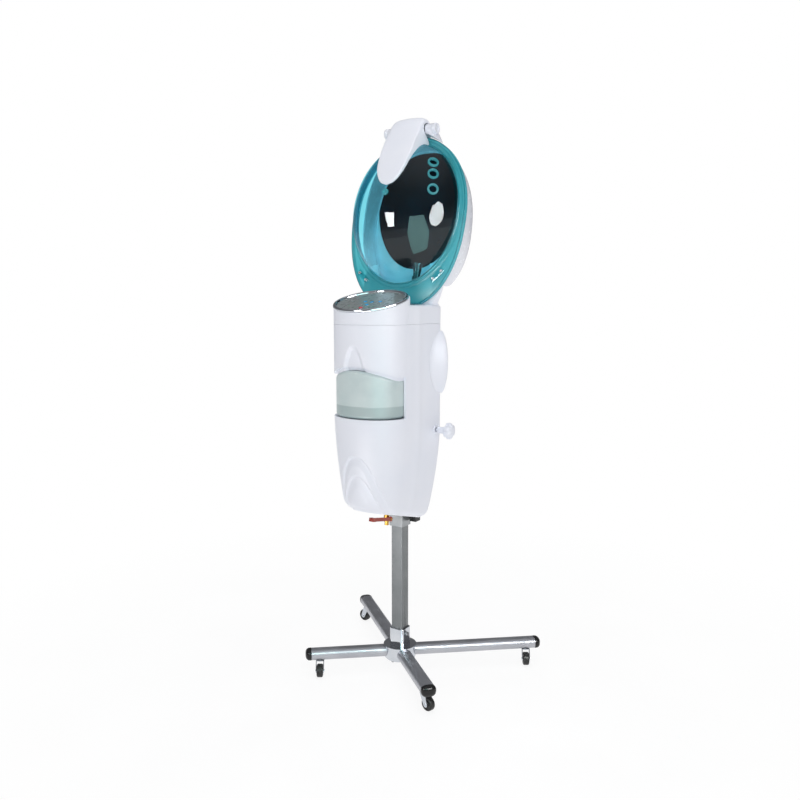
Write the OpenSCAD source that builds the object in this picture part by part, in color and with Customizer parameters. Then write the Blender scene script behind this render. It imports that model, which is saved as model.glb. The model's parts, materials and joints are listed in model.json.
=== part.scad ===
// Hooded mist steamer on a wheeled stand.
// Origin: on the post's axis at floor level. +Z up, -Y is the control side, +X its right hand.

/* [Stand] */
// Angle of each leg from the front-back line
leg_angle = 49.6; // [46:0.2:53]
// Reach of a front leg tube from the post's axis
front_leg_reach = 254; // [220:1:300]
// Reach of a rear leg tube from the post's axis
rear_leg_reach = 397; // [340:1:440]
// Width of a leg tube
leg_w = 40; // [36:1:42]
// Height of a leg tube
leg_h = 30; // [28:1:32]
// Wall of the leg tubes
leg_wall = 1.8; // [1.2:0.1:2.4]
// Height of the leg tube's underside above the floor
leg_z = 48; // [47:0.5:50]
// Radius of a caster wheel
wheel_r = 18.5; // [17:0.5:19]
// Width of a caster wheel
wheel_w = 17; // [14:1:18]
// How far a caster wheel trails behind its stem
caster_trail = 13; // [11:1:14]

/* [Post] */
// Outside width of the square post
post_w = 35; // [33:1:36]
// Wall of the post
post_wall = 2; // [1.5:0.5:3]
// Height of the post's top end
post_top = 850; // [830:5:860]
// Height of the hub's socket
socket_top = 132; // [120:1:140]

/* [Body] */
// Half the width of the body
body_half_w = 106.6; // [100:0.5:112]
// How far the crease between front and side lies ahead of the post
crease_y = 132; // [128:1:136]
// Depth of the body's curved front ahead of the crease
front_bow = 88; // [80:1:92]
// How far the back of the body lies behind the post's axis
body_back = 50; // [46:1:54]
// Wall of the mouldings
wall = 3; // [2.5:0.5:3.5]
// Height of the seam between housing and top moulding
seam_z = 1000; // [990:1:1010]
// Height of the body's flat rear top
deck_z = 1049; // [1045:1:1055]
// Slope of the control panel
panel_slope = 18.3; // [14:0.1:22]
// Height at which the sides start to draw in
taper_z = 740; // [720:5:760]
// Slope of the body's underside
belly_slope = 11.8; // [9:0.1:14]

/* [Tank] */
// Height of the tank window's sill
sill_z = 760; // [752:1:768]
// Height of the window arch at its middle
arch_z = 895; // [880:1:905]
// How far the arch falls towards the sides
arch_fall = 28; // [20:1:34]

/* [Hood] */
// How far the hood leans back
hood_lean = 11.8; // [8:0.1:15]
// Half the width of the dome's flange
flange_a = 180; // [172:1:186]
// Half the height of the dome's flange
flange_c = 214; // [206:1:220]
// How far the skirt below the dome reaches down from the flange's middle
skirt_drop = 248; // [240:1:250]
// Half the width of the dome
dome_a = 156; // [150:1:160]
// Half the height of the dome
dome_c = 190; // [184:1:192]
// Depth of the dome
dome_d = 110; // [95:1:120]
// Radius of the hinge knuckles
knuckle_r = 15.5; // [14:0.5:17]

/* [Hidden] */

eps = 0.02;
run = 0.05;              // radial running clearance at pins and bores
gap = 0.3;               // clearance between parts that only sit side by side
leg_start = 26;
leg_mid_z = leg_z + leg_h / 2;
hub_r = 45;
hub_top = leg_z + leg_h + 4;
plate_z = leg_z - 2;
socket_w = 46;
screw_circle = 36.5;
shank_r = 2.4;

stem_r = 4.5;
cap_len = 17;
caster_inset = 25;
axle_r = 3;
fork_t = 2;
fork_in = wheel_w / 2 + 1;

bush_w = post_w + 3;
sleeve_w = bush_w + 5;
sleeve_z = [432, 772];
knob_z = 712;
knob_y = 12;
knob_screw_r = 4;
knob_head_x = 142;

belly_y = 10;            // the underside passes through height belly_z at this depth
belly_z = 470;
belly_rise = tan(belly_slope);
column_back = 74;        // depth of the panel column behind the crease line
panel_y = -139;
panel_z = 1057.5;
button_r = 5;
button_travel = 1;

tank_gap = 4;
arch_half = body_half_w - wall - 0.5;

hood_at = [0, 32, 1296];
hinge_y = -20.5;         // hinge axis in the hood's own frame
hinge_z = 220.5;
bracket_half = 49.5;
ear_in = 50;
ear_out = 70;
cap_out = 82;
pin_r = 5;
hump_r = 34;
rim_y = 15.6;
neck_top = -182;         // height of the neck between its arms, in the hood's frame
hose_x = 45;             // where the steam hose rises through the deck and the neck
hose_y = 6.5;
shell_t = 4;

chrome = "#c9ccd0";
steel = "#85898c";
white = "#eceef6";
teal = "#3aa5b0a0";
dark = "#0c1c26";
black = "#1c1c1e";

// ---------- outlines ----------

// Front view of the dome's flange with its skirt: half an ellipse over a fuller, cut-off lower half
function flange_view(grow = 0) = let (
    a = flange_a + grow,
    upper = flange_c + grow,
    lower = skirt_drop + 14 + grow,
    n = 2.3)
    concat(
        [for (i = [0:30]) let (t = i * 6) [a * cos(t), upper * sin(t)]],
        [for (i = [1:29]) let (t = 180 + i * 6, c = cos(t), s = -sin(t))
            [a * sign(c) * pow(abs(c), 2 / n), -min(lower * pow(s, 2 / n), skirt_drop + grow)]]);

// Closed superellipse outline with half-axes a, b
function oval(a, b, n = 2, steps = 48) = [
    for (i = [0:steps - 1])
        let (t = i * 360 / steps, c = cos(t), s = sin(t))
        [a * sign(c) * pow(abs(c), 2 / n), b * sign(s) * pow(abs(s), 2 / n)]];

// D-shaped leg section: flat-topped oval that narrows towards its underside
function leg_section(w, h) = [
    for (p = oval(w / 2, h / 2, 2.8, 32)) [p[0] * (1 + 0.12 * min(0, p[1] / h)), p[1]]];

// Arc of points about a centre
function arc(c, r, from, to, steps = 6) = [
    for (i = [0:steps]) let (t = from + (to - from) * i / steps) c + r * [cos(t), sin(t)]];

// Plan of the body: bowed front, straight sides, rounded back corners; inset shrinks it evenly
function body_plan(inset = 0) = let (
    a = body_half_w - inset,
    b = front_bow - inset,
    r = 18,
    back = body_back - inset,
    bow = [for (i = [0:28]) let (t = 180 + i * 180 / 28) [a * cos(t), -crease_y + b * sin(t)]])
    concat(bow, arc([a - r, back - r], r, 0, 90), arc([r - a, back - r], r, 90, 180));

// Plan of the panel's column: bowed front and shallower bowed back
function column_plan(inset = 0) = [
    for (i = [0:47])
        let (t = i * 7.5, bow = sin(t) < 0 ? front_bow : column_back)
        [(body_half_w - inset) * cos(t), -crease_y + (bow - inset) * sin(t)]];

// Front view of the window: flat sill and arched top
function window_view(inset = 0) = let (half = arch_half - inset) concat(
    [[-half, sill_z + inset], [half, sill_z + inset]],
    [for (i = [8:-1:-8]) let (u = i / 8) [half * u, arch_z - inset - arch_fall * u * u]]);

// ---------- shared shapes ----------

module at_leg(side, end) {
    rotate([0, 0, side * (end > 0 ? leg_angle - 90 : 90 - leg_angle) + (side < 0 ? 180 : 0)])
        children();
}

module leg_tube(length) {
    rotate([90, 0, 90]) translate([0, 0, leg_start])
        linear_extrude(length - leg_start) difference() {
            polygon(leg_section(leg_w, leg_h));
            polygon(leg_section(leg_w - 2 * leg_wall, leg_h - 2 * leg_wall));
        }
}

module square_tube(outer, inner, z0, z1) {
    translate([0, 0, z0]) linear_extrude(z1 - z0) difference() {
        square(outer, center = true);
        square(inner, center = true);
    }
}

module hex_screw(head_r, head_h, r, length) {
    translate([0, 0, -head_h]) cylinder(r = head_r, h = head_h, $fn = 6);
    cylinder(r = r, h = length, $fn = 32);
}

module rod(p, q, r) {
    d = q - p;
    translate(p) rotate([0, acos(d[2] / norm(d)), atan2(d[1], d[0])])
        cylinder(r = r, h = norm(d), $fn = 24);
}

module hose(path, r) {
    for (i = [0:len(path) - 2]) rod(path[i], path[i + 1], r);
    for (i = [1:len(path) - 2]) translate(path[i]) sphere(r = r + 0.8, $fn = 24);
}

// Solid of the whole lower body, drawn in towards its sloped, round-cornered underside
module body_volume(inset = 0, top = seam_z) {
    draw_in = [[0, 38], [9, 29], [26, 23], [52, 17.5], [104, 10], [160, 5.5]];
    hull() {
        for (s = draw_in)
            multmatrix([[1, 0, 0, 0], [0, 1, 0, 0], [0, -belly_rise, 1, 0], [0, 0, 0, 1]])
                translate([0, 0, belly_z + belly_y * belly_rise + s[0] + inset])
                    linear_extrude(eps) polygon(body_plan(s[1] + inset));
        translate([0, 0, taper_z]) linear_extrude(top - taper_z) polygon(body_plan(inset));
    }
}

// Frame of the sloped control panel: origin at its middle, +Z out of it
module panel_frame() {
    translate([0, panel_y, panel_z]) rotate([panel_slope, 0, 0]) children();
}

module panel_oval(inset, height) {
    a = body_half_w - inset;
    b = (front_bow + column_back) / 2 / cos(panel_slope) - inset;
    linear_extrude(height) polygon(oval(a, b));
}

// Everything above the panel's plane
module above_panel() {
    panel_frame() translate([-150, -150, 0]) cube([300, 300, 200]);
}

// Frame of the leaning hood: origin in the middle of the dome's flange, -Y out of the dome
module hood_frame() {
    translate(hood_at) rotate([-hood_lean, 0, 0]) children();
}

module upright_oval(a, c, y0, y1, z = 0, n = 2) {
    translate([0, y1, z]) rotate([90, 0, 0]) linear_extrude(y1 - y0) polygon(oval(a, c, n));
}

// Solid half-ellipsoid bulging towards -Y
module dome_volume(grow = 0) {
    hull() for (t = [0:11:88])
        upright_oval((dome_a + grow) * cos(t), (dome_c + grow) * cos(t),
            -(dome_d + grow) * sin(t), -(dome_d + grow) * sin(t) + eps);
}

// Solid of the rear shell, drawn in towards the back
module shell_volume(inset = 0) {
    rings = [[rim_y, 150, 205, 0], [70, 152, 208, -4], [125, 135, 185, -12], [165, 98, 138, -22],
        [186, 48, 70, -30]];
    hull() {
        for (s = rings)
            upright_oval(s[1] - inset, s[2] - inset, s[0] - inset / 2, s[0] - inset / 2 + eps, s[3], 2.3);
    }
}

// Shoulders that carry the hinge ears, rooted inside the shell's wall
module shoulders() {
    hull() {
        along_hinge(-ear_out, ear_out, knuckle_r, 32);
        translate([-112, rim_y + 4, 96]) cube([224, 30, 50]);
    }
}

module flange_plate(grow, y0, y1) {
    translate([0, y1, 0]) rotate([90, 0, 0]) linear_extrude(y1 - y0) polygon(flange_view(grow));
}

module along_hinge(x0, x1, r, sides = 48) {
    translate([x0, hinge_y, hinge_z]) rotate([0, 90, 0]) cylinder(r = r, h = x1 - x0, $fn = sides);
}

// ---------- stand ----------

module hub_body() {
    color(chrome) difference() {
        union() {
            translate([0, 0, plate_z]) cylinder(r = hub_r, h = hub_top - plate_z - 3, $fn = 96);
            translate([0, 0, hub_top - 3]) cylinder(r = hub_r + 2, h = 3, $fn = 96);
        }
        for (side = [-1, 1], end = [-1, 1]) at_leg(side, end)
            rotate([90, 0, 90]) translate([0, leg_mid_z, leg_start - 0.2])
                linear_extrude(60) polygon(leg_section(leg_w + 0.2, leg_h + 0.2));
        for (a = [0:90:270]) rotate([0, 0, a]) translate([screw_circle, 0, plate_z - 1])
            cylinder(r = shank_r + run, h = 22, $fn = 32);
    }
}

module hub_bottom_plate() {
    color(chrome) difference() {
        translate([0, 0, plate_z - 4]) cylinder(r = hub_r - 3, h = 4, $fn = 96);
        for (a = [0:90:270]) rotate([0, 0, a]) translate([screw_circle, 0, plate_z - 5])
            cylinder(r = shank_r + run, h = 6, $fn = 32);
    }
}

module hub_screws() {
    color(steel) for (a = [0:90:270]) rotate([0, 0, a])
        translate([screw_circle, 0, plate_z - 4]) hex_screw(4.4, 3, shank_r, 20);
}

module post_socket() {
    color(chrome) difference() {
        translate([0, 0, hub_top]) linear_extrude(socket_top - hub_top) difference() {
            intersection() {
                square(socket_w, center = true);
                circle(r = socket_w * 0.62, $fn = 64);
            }
            square(post_w + 2 * run, center = true);
        }
        translate([0, 0, socket_top - 17]) rotate([0, 90, 0])
            cylinder(r = 3 + run, h = 40, $fn = 32);
    }
}

module socket_bolt() {
    color(steel) translate([socket_w / 2, 0, socket_top - 17]) rotate([0, -90, 0])
        hex_screw(6, 5, 3, socket_w / 2 - post_w / 2 + 6);
}

module post() {
    color(steel) difference() {
        square_tube(post_w, post_w - 2 * post_wall, hub_top, post_top);
        translate([0, 0, socket_top - 17]) rotate([0, 90, 0])
            cylinder(r = 3 + run, h = 30, $fn = 32);
    }
}

module post_cap() {
    color(black) {
        translate([0, 0, post_top + 1.5]) cube([post_w, post_w, 3], center = true);
        square_tube(post_w - 2 * post_wall - 0.2, post_w - 2 * post_wall - 4, post_top - 15, post_top);
    }
}

module leg(side, end) {
    reach = end > 0 ? front_leg_reach : rear_leg_reach;
    color(chrome) difference() {
        translate([0, 0, leg_mid_z]) at_leg(side, end) leg_tube(reach);
        at_leg(side, end) translate([reach - caster_inset, 0, leg_z - 1])
            cylinder(r = stem_r + run, h = leg_h / 2, $fn = 32);
    }
}

module front_leg_left() { leg(-1, 1); }
module front_leg_right() { leg(1, 1); }
module rear_leg_left() { leg(-1, -1); }
module rear_leg_right() { leg(1, -1); }

module leg_end_caps() {
    color(black) for (side = [-1, 1], end = [-1, 1]) {
        reach = end > 0 ? front_leg_reach : rear_leg_reach;
        at_leg(side, end) translate([reach, 0, leg_mid_z]) rotate([90, 0, 90]) {
            hull() {
                linear_extrude(6) polygon(leg_section(leg_w, leg_h));
                translate([0, 3, cap_len - 1]) linear_extrude(1)
                    polygon(leg_section(leg_w * 0.5, leg_h * 0.5));
                translate([0, 1.5, cap_len - 5]) linear_extrude(1)
                    polygon(leg_section(leg_w * 0.8, leg_h * 0.8));
            }
            translate([0, 0, -10]) linear_extrude(10)
                polygon(leg_section(leg_w - 2 * leg_wall - 0.2, leg_h - 2 * leg_wall - 0.2));
        }
    }
}

// Direction each caster trails, turned from its leg's own line
function caster_turn(side, end) = end > 0 ? (side > 0 ? 25 : 82) : (side > 0 ? -97 : 35);

module at_caster(side, end) {
    reach = end > 0 ? front_leg_reach : rear_leg_reach;
    at_leg(side, end) translate([reach - caster_inset, 0, 0])
        rotate([0, 0, caster_turn(side, end)]) children();
}

module caster_fork(side, end) {
    axle_z = wheel_r;
    top_z = leg_z - 2;
    color(chrome) at_caster(side, end) {
        translate([0, 0, top_z - 3]) cylinder(r = 11, h = 3, $fn = 48);
        translate([0, 0, top_z]) cylinder(r = stem_r, h = 14, $fn = 32);
        for (s = [-1, 1]) translate([0, s * fork_in + (s < 0 ? -fork_t : 0), 0]) hull() {
            translate([-8, 0, top_z - 2]) cube([19, fork_t, 2]);
            translate([caster_trail, 0, axle_z]) rotate([-90, 0, 0])
                cylinder(r = 7, h = fork_t, $fn = 32);
        }
        translate([-8, -fork_in - fork_t, top_z - 2]) cube([19, 2 * (fork_in + fork_t), 2]);
        translate([caster_trail, -fork_in - fork_t - 1.5, axle_z]) rotate([-90, 0, 0])
            cylinder(r = axle_r, h = 2 * (fork_in + fork_t + 1.5), $fn = 32);
    }
}

module caster_wheel(side, end) {
    color(black) at_caster(side, end) translate([caster_trail, 0, wheel_r]) rotate([-90, 0, 0])
        rotate_extrude($fn = 64) polygon([
            [axle_r + run, -wheel_w / 2 - 0.5], [axle_r + 4, -wheel_w / 2 - 0.5],
            [axle_r + 5, -wheel_w / 2 + 2], [wheel_r - 5, -wheel_w / 2 + 1.5],
            [wheel_r - 4, -wheel_w / 2], [wheel_r - 1.5, -wheel_w / 2 + 0.6],
            [wheel_r, -wheel_w / 2 + 3], [wheel_r, wheel_w / 2 - 3],
            [wheel_r - 1.5, wheel_w / 2 - 0.6], [wheel_r - 4, wheel_w / 2],
            [wheel_r - 5, wheel_w / 2 - 1.5], [axle_r + 5, wheel_w / 2 - 2],
            [axle_r + 4, wheel_w / 2 + 0.5], [axle_r + run, wheel_w / 2 + 0.5]]);
}

module caster_fork_front_left() { caster_fork(-1, 1); }
module caster_fork_front_right() { caster_fork(1, 1); }
module caster_fork_rear_left() { caster_fork(-1, -1); }
module caster_fork_rear_right() { caster_fork(1, -1); }
module caster_wheel_front_left() { caster_wheel(-1, 1); }
module caster_wheel_front_right() { caster_wheel(1, 1); }
module caster_wheel_rear_left() { caster_wheel(-1, -1); }
module caster_wheel_rear_right() { caster_wheel(1, -1); }

// ---------- carriage on the post ----------

module slide_sleeve() {
    color(steel) difference() {
        union() {
            square_tube(sleeve_w, bush_w, sleeve_z[0], sleeve_z[1]);
            for (z = [560, 735]) translate([-42, sleeve_w / 2, z]) cube([84, 3, 30]);
            translate([sleeve_w / 2 - eps, knob_y, knob_z]) rotate([0, 90, 0])
                cylinder(r = 9, h = 14, $fn = 48);
        }
        translate([post_w / 2, knob_y, knob_z]) rotate([0, 90, 0])
            cylinder(r = knob_screw_r + run, h = 40, $fn = 48);
    }
}

module sleeve_bushes() {
    color(black) {
        square_tube(bush_w, post_w + 2 * run, sleeve_z[0] + 1, sleeve_z[0] + 45);
        square_tube(bush_w, post_w + 2 * run, sleeve_z[1] - 46, sleeve_z[1] - 1);
    }
}

module height_knob() {
    color(white) translate([0, knob_y, knob_z]) rotate([0, 90, 0]) {
        translate([0, 0, post_w / 2 + run]) cylinder(r = knob_screw_r, h = 110, $fn = 48);
        translate([0, 0, 118]) cylinder(r1 = 8, r2 = 10, h = knob_head_x - 118, $fn = 48);
        translate([0, 0, knob_head_x]) linear_extrude(16) difference() {
            circle(r = 22.5, $fn = 72);
            for (a = [0:60:300]) rotate(a) translate([25, 0]) circle(r = 8, $fn = 32);
        }
        translate([0, 0, knob_head_x + 16]) cylinder(r1 = 15, r2 = 11, h = 5, $fn = 48);
    }
}

// ---------- housing ----------

module knob_hole() {
    translate([60, knob_y, knob_z]) rotate([0, 90, 0]) cylinder(r = 6, h = 80, $fn = 48);
}

module front_housing() {
    color(white) difference() {
        body_volume();
        body_volume(wall, seam_z + 1);
        translate([-150, 28, 400]) cube([300, 60, 700]);
        translate([0, -crease_y, 0]) rotate([90, 0, 0]) linear_extrude(200) polygon(window_view());
        belly_opening();
        knob_hole();
    }
}

// Room for the sleeve, the drain spout and the power inlet where they pass the underside
module service_holes() {
    translate([0, 0, 400]) linear_extrude(140) square(sleeve_w + 2 * gap, center = true);
    translate([0, -67, 400]) cylinder(r = 8 + gap, h = 140, $fn = 32);
    translate([26 - gap, 10 - gap, 400]) cube([20 + 2 * gap, 24 + 2 * gap, 140]);
}

// Opening in the underside that the base plate closes
module belly_opening() {
    multmatrix([[1, 0, 0, 0], [0, 1, 0, 0], [0, -belly_rise, 1, 0], [0, 0, 0, 1]])
        translate([0, 0, belly_z + belly_y * belly_rise - 5])
            linear_extrude(30) polygon(body_plan(46));
    service_holes();
}

module base_plate() {
    color(white) difference() {
        multmatrix([[1, 0, 0, 0], [0, 1, 0, 0], [0, -belly_rise, 1, 0], [0, 0, 0, 1]])
            translate([0, 0, belly_z + belly_y * belly_rise])
                linear_extrude(wall) polygon(body_plan(46 + gap));
        service_holes();
    }
}

module rear_cover() {
    color(white) difference() {
        intersection() {
            body_volume();
            translate([-150, 28 + gap, 400]) cube([300, 60, 700]);
        }
        body_volume(wall, seam_z + 1);
        belly_opening();
    }
}

module top_housing() {
    color(white) difference() {
        union() {
            translate([0, 0, seam_z + gap]) linear_extrude(deck_z - seam_z - gap) polygon(body_plan());
            translate([0, 0, seam_z + gap]) linear_extrude(130) polygon(column_plan());
        }
        above_panel();
        translate([0, 0, seam_z - 1]) linear_extrude(deck_z - seam_z + 1 - wall)
            polygon(body_plan(wall));
        difference() {
            translate([0, 0, seam_z - 1]) linear_extrude(140) polygon(column_plan(wall));
            translate([0, 0, -wall]) above_panel();
        }
        panel_frame() translate([0, 0, -wall - 1]) panel_oval(24, wall + 2);
        translate([hose_x, hose_y, deck_z - 10]) cylinder(r = 11, h = 20, $fn = 32);
    }
}

module panel_bezel() {
    color(chrome) panel_frame() difference() {
        panel_oval(4, 5);
        translate([0, 0, -1]) panel_oval(11, 7);
    }
}

BUTTONS = [[-12, -6], [11, -10], [34, -5], [9, -31]];
POWER_AT = [6, -54];
LIGHTS_AT = [for (t = [-130, -103, -65, -56, -47, -38]) [64 * cos(t), 52 * sin(t)]];

module control_panel() {
    color("#6d7272") panel_frame() difference() {
        panel_oval(11 + gap, 3);
        for (p = concat(BUTTONS, [POWER_AT])) translate([p[0], p[1], -1])
            cylinder(r = button_r + run, h = 6, $fn = 32);
        for (p = LIGHTS_AT) translate([p[0], p[1], -1]) cylinder(r = 1.5 + run, h = 6, $fn = 24);
    }
}

module button(at, shade) {
    color(shade) panel_frame() translate([at[0], at[1], 0]) {
        translate([0, 0, -3]) cylinder(r = button_r, h = 6.8, $fn = 32);
        translate([0, 0, -4.5]) cylinder(r = button_r + 1.5, h = 2, $fn = 32);
    }
}

module power_button() { button(POWER_AT, "#c83246"); }
module time_up_button() { button(BUTTONS[0], "#2896c8"); }
module time_down_button() { button(BUTTONS[1], "#2896c8"); }
module heat_button() { button(BUTTONS[2], "#2896c8"); }
module mist_button() { button(BUTTONS[3], "#2896c8"); }

module indicator_leds() {
    color("#3c9c70") panel_frame() for (p = LIGHTS_AT) translate([p[0], p[1], -9.4])
        cylinder(r = 1.5, h = 12.6, $fn = 24);
}

module circuit_board() {
    color("#1f5c3a") panel_frame() translate([0, 0, -11]) panel_oval(26, 1.5);
}

// ---------- water and steam ----------

module tank_volume(inset) {
    intersection() {
        translate([0, 0, sill_z]) linear_extrude(160) polygon(concat(
            [for (i = [0:24]) let (t = 180 + i * 7.5)
                [(body_half_w - 5 - inset) * cos(t),
                    -crease_y + (front_bow - tank_gap - inset) * sin(t)]],
            [[body_half_w - 5 - inset, -62 - inset], [-body_half_w + 5 + inset, -62 - inset]]));
        translate([0, -40, 0]) rotate([90, 0, 0]) linear_extrude(200)
            polygon(window_view(1.5 + inset));
    }
}

module water_tank() {
    color("#bccdcdb0") difference() {
        union() {
            tank_volume(0);
            translate([-50, -62, sill_z + 14]) rotate([-90, 0, 0]) cylinder(r = 7, h = 8, $fn = 32);
        }
        tank_volume(2.5);
        translate([-50, -66, sill_z + 14]) rotate([-90, 0, 0]) cylinder(r = 4, h = 20, $fn = 32);
    }
}

module tank_tray() {
    color("#b8bcc4") {
        translate([0, 0, sill_z - 6]) linear_extrude(5) intersection() {
            polygon(body_plan(wall + 1.5));
            translate([-150, -226]) square([300, 178]);
        }
        difference() {
            translate([-90, -52, sill_z - 1]) cube([180, 4, 110]);
            translate([-50, -60, sill_z + 14]) rotate([-90, 0, 0])
                cylinder(r = 7 + gap, h = 20, $fn = 32);
        }
    }
}

boiler_y = -110;
boiler_z = 545;

module boiler() {
    color(steel) difference() {
        union() {
            translate([0, boiler_y, boiler_z]) cylinder(r = 52, h = 130, $fn = 64);
            translate([0, boiler_y, boiler_z + 130]) cylinder(r = 57, h = 4, $fn = 64);
        }
        translate([0, boiler_y, boiler_z + 3]) cylinder(r = 49, h = 124, $fn = 64);
        translate([0, -67, boiler_z - 1]) cylinder(r = 4, h = 6, $fn = 32);
        translate([30, -80, boiler_z + 120]) cylinder(r = 9 + run, h = 20, $fn = 32);
    }
}

module heating_element() {
    color("#5a5048") translate([0, boiler_y, boiler_z + 22]) {
        rotate_extrude($fn = 48) translate([34, 0]) circle(r = 4, $fn = 24);
        for (x = [-34, 34]) translate([x, 0, -18.9]) cylinder(r = 3, h = 18, $fn = 24);
    }
}

hose_path = [[30, -80, 668], [30, -80, 705], [hose_x, -36, 745], [hose_x, -36, 985],
    [hose_x, hose_y, 1020], [hose_x, hose_y, 1100]];

module steam_hose() {
    color("#c8ccd0") difference() {
        hose(hose_path, 9);
        hose(concat([hose_path[0] - [0, 0, 5]], [for (i = [1:4]) hose_path[i]],
            [hose_path[5] + [0, 0, 5]]), 6.5);
    }
}

module transformer() {
    color("#4a4a4e") {
        translate([-80, -17, 560]) cube([46, 28, 52]);
        translate([-76, -25, 568]) cube([38, 44, 36]);
    }
}

valve_z = 466;

module drain_spout() {
    color("#be9646") difference() {
        translate([0, -67, 0]) {
            translate([0, 0, valve_z - 18]) cylinder(r = 6, h = boiler_z - valve_z + 18, $fn = 48);
            translate([0, 0, valve_z - 8]) cylinder(r = 8, h = 16, $fn = 48);
            translate([0, 0, valve_z]) rotate([0, 90, 0]) cylinder(r = 3, h = 15.8, $fn = 32);
        }
        translate([0, -67, valve_z - 30]) cylinder(r = 4, h = 120, $fn = 48);
    }
}

module drain_lever() {
    color("#96321e") translate([0, -67, valve_z]) rotate([-belly_slope, 0, 0]) difference() {
        translate([11, 0, 0]) union() {
            rotate([0, 90, 0]) cylinder(r = 7, h = 4, $fn = 48);
            translate([0, -86, -5]) cube([4, 82, 10]);
            translate([-7, -92, -5]) cube([15, 14, 10]);
        }
        rotate([0, 90, 0]) cylinder(r = 3 + run, h = 40, $fn = 32);
    }
}

module power_inlet() {
    color(black) {
        translate([26, 10, 444]) cube([20, 24, 60]);
        translate([28, 12, 504]) cube([16, 20, 10]);
    }
}

// ---------- side ears and fasteners ----------

ear_z = 895;
ear_half_h = 85;

module side_ear(side, y0, y1, y_peak, bulge) {
    color(white) translate([side * (body_half_w + gap), 0, ear_z]) hull() {
        for (t = [-72:24:72]) {
            mid = (y0 + y1) / 2;
            half = (y1 - y0) / 2 * cos(t);
            translate([0, mid - half, ear_half_h * sin(t)]) rotate([0, side * 90, 0])
                linear_extrude(eps) square([eps, 2 * half]);
            translate([side * bulge * pow(cos(t), 1.5), y_peak, ear_half_h * 0.9 * sin(t)])
                sphere(r = 1, $fn = 8);
        }
        for (t = [-1, 1]) translate([0, (y0 + y1) / 2, t * ear_half_h]) sphere(r = eps, $fn = 8);
    }
}

module side_ear_left() { side_ear(-1, -20, 44, 30, 28); }
module side_ear_right() { side_ear(1, -20, 44, 30, 28); }

module housing_screws() {
    color(steel) for (x = [-80, 80], z = [540, 760, 960])
        translate([x, body_back + eps, z]) rotate([90, 0, 0]) {
            translate([0, 0, -2]) cylinder(r = 4, h = 2, $fn = 32);
        }
}

// ---------- hood ----------

// Neck between the body's deck and the dome, with an arm behind each fixing plate
module hood_neck() {
    color(white) difference() {
        hull() {
            translate([-100, -14, deck_z]) cube([200, 62, 1]);
            hood_frame() upright_oval(130, 62, 3.4, 26, -196, 3.5);
        }
        translate([-200, -200, deck_z - 100]) cube([400, 400, 100]);
        hood_frame() translate([-84, -60, neck_top]) cube([168, 200, 200]);
        translate([hose_x, hose_y, deck_z - 10]) cylinder(r = 9 + gap, h = 100, $fn = 32);
        hood_frame() plate_screws() cylinder(r = 2 + run, h = 20, $fn = 24);
    }
}

VENTS = [[102, 115], [112, 80], [120, 37]];

module hood_dome() {
    color(teal) hood_frame() difference() {
        union() {
            dome_volume();
            flange_plate(0, 0, 3);
            difference() {
                flange_plate(0, 0, 14);
                flange_plate(-3, -1, 15);
                translate([-200, -5, -260]) cube([400, 30, 110]);
            }
            for (v = VENTS) vent_boss(v, 15.5, 4);
        }
        dome_volume(-3);
        upright_oval(dome_a - 3, dome_c - 3, -eps, 5);
        for (v = VENTS) vent_boss(v, 9, 20);
        plate_screws() cylinder(r = 2 + run, h = 20, $fn = 24);
    }
}

// A short round boss that stands out of the dome at a place given by its front view
module vent_boss(v, r, proud) {
    y = -dome_d * sqrt(1 - pow(v[0] / dome_a, 2) - pow(v[1] / dome_c, 2));
    n = [v[0] / pow(dome_a, 2), y / pow(dome_d, 2), v[1] / pow(dome_c, 2)];
    u = n / norm(n);
    base = [v[0], y, v[1]] - u * (proud > 10 ? 30 : 1.5);
    translate(base) rotate([0, acos(u[2]), atan2(u[1], u[0])])
        cylinder(r = r, h = proud + (proud > 10 ? 30 : 1.5), $fn = 40);
}

PLATE_X = 120;
PLATE_Z = -172;

module at_plate(side) {
    translate([side * PLATE_X, -3 - gap, PLATE_Z]) rotate([0, side * 48, 0]) children();
}

// Places its children at the four screws of the fixing plates, pointing into the hood
module plate_screws() {
    for (side = [-1, 1], z = [-15, 15])
        at_plate(side) translate([0, 0, z]) rotate([-90, 0, 0]) children();
}

module dome_fixing_plates() {
    color("#9fc4c8") hood_frame() difference() {
        for (side = [-1, 1]) at_plate(side) translate([-8, 0, -22]) cube([16, 3, 44]);
        plate_screws() translate([0, 0, -1]) cylinder(r = 2 + run, h = 8, $fn = 24);
    }
}

module dome_screws() {
    color(steel) hood_frame() plate_screws() {
        translate([0, 0, -2]) cylinder(r = 3.6, h = 2, $fn = 32);
        cylinder(r = 2, h = 12, $fn = 24);
    }
}

module hinge_bracket() {
    color(white) hood_frame() difference() {
        union() {
            along_hinge(-bracket_half, bracket_half, knuckle_r);
            difference() {
                hull() {
                    along_hinge(-bracket_half, bracket_half, hump_r, 32);
                    translate([0, -72, 150]) rotate([-30, 0, 0]) scale([46, 12, 20])
                        sphere(r = 1, $fn = 24);
                    translate([0, -98, 84]) rotate([-15, 0, 0]) scale([35, 9, 28])
                        sphere(r = 1, $fn = 24);
                    translate([0, -107, 62]) scale([22, 7, 18]) sphere(r = 1, $fn = 24);
                }
                dome_volume(gap);
                flange_plate(gap, -gap, 60);
                translate([-100, -gap, 0]) cube([200, 80, hinge_z - 4]);
            }
        }
        along_hinge(-60, 60, pin_r + run);
    }
}

module hinge_pin() {
    color(steel) hood_frame() along_hinge(-ear_out - 4, ear_out + 4, pin_r);
}

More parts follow.
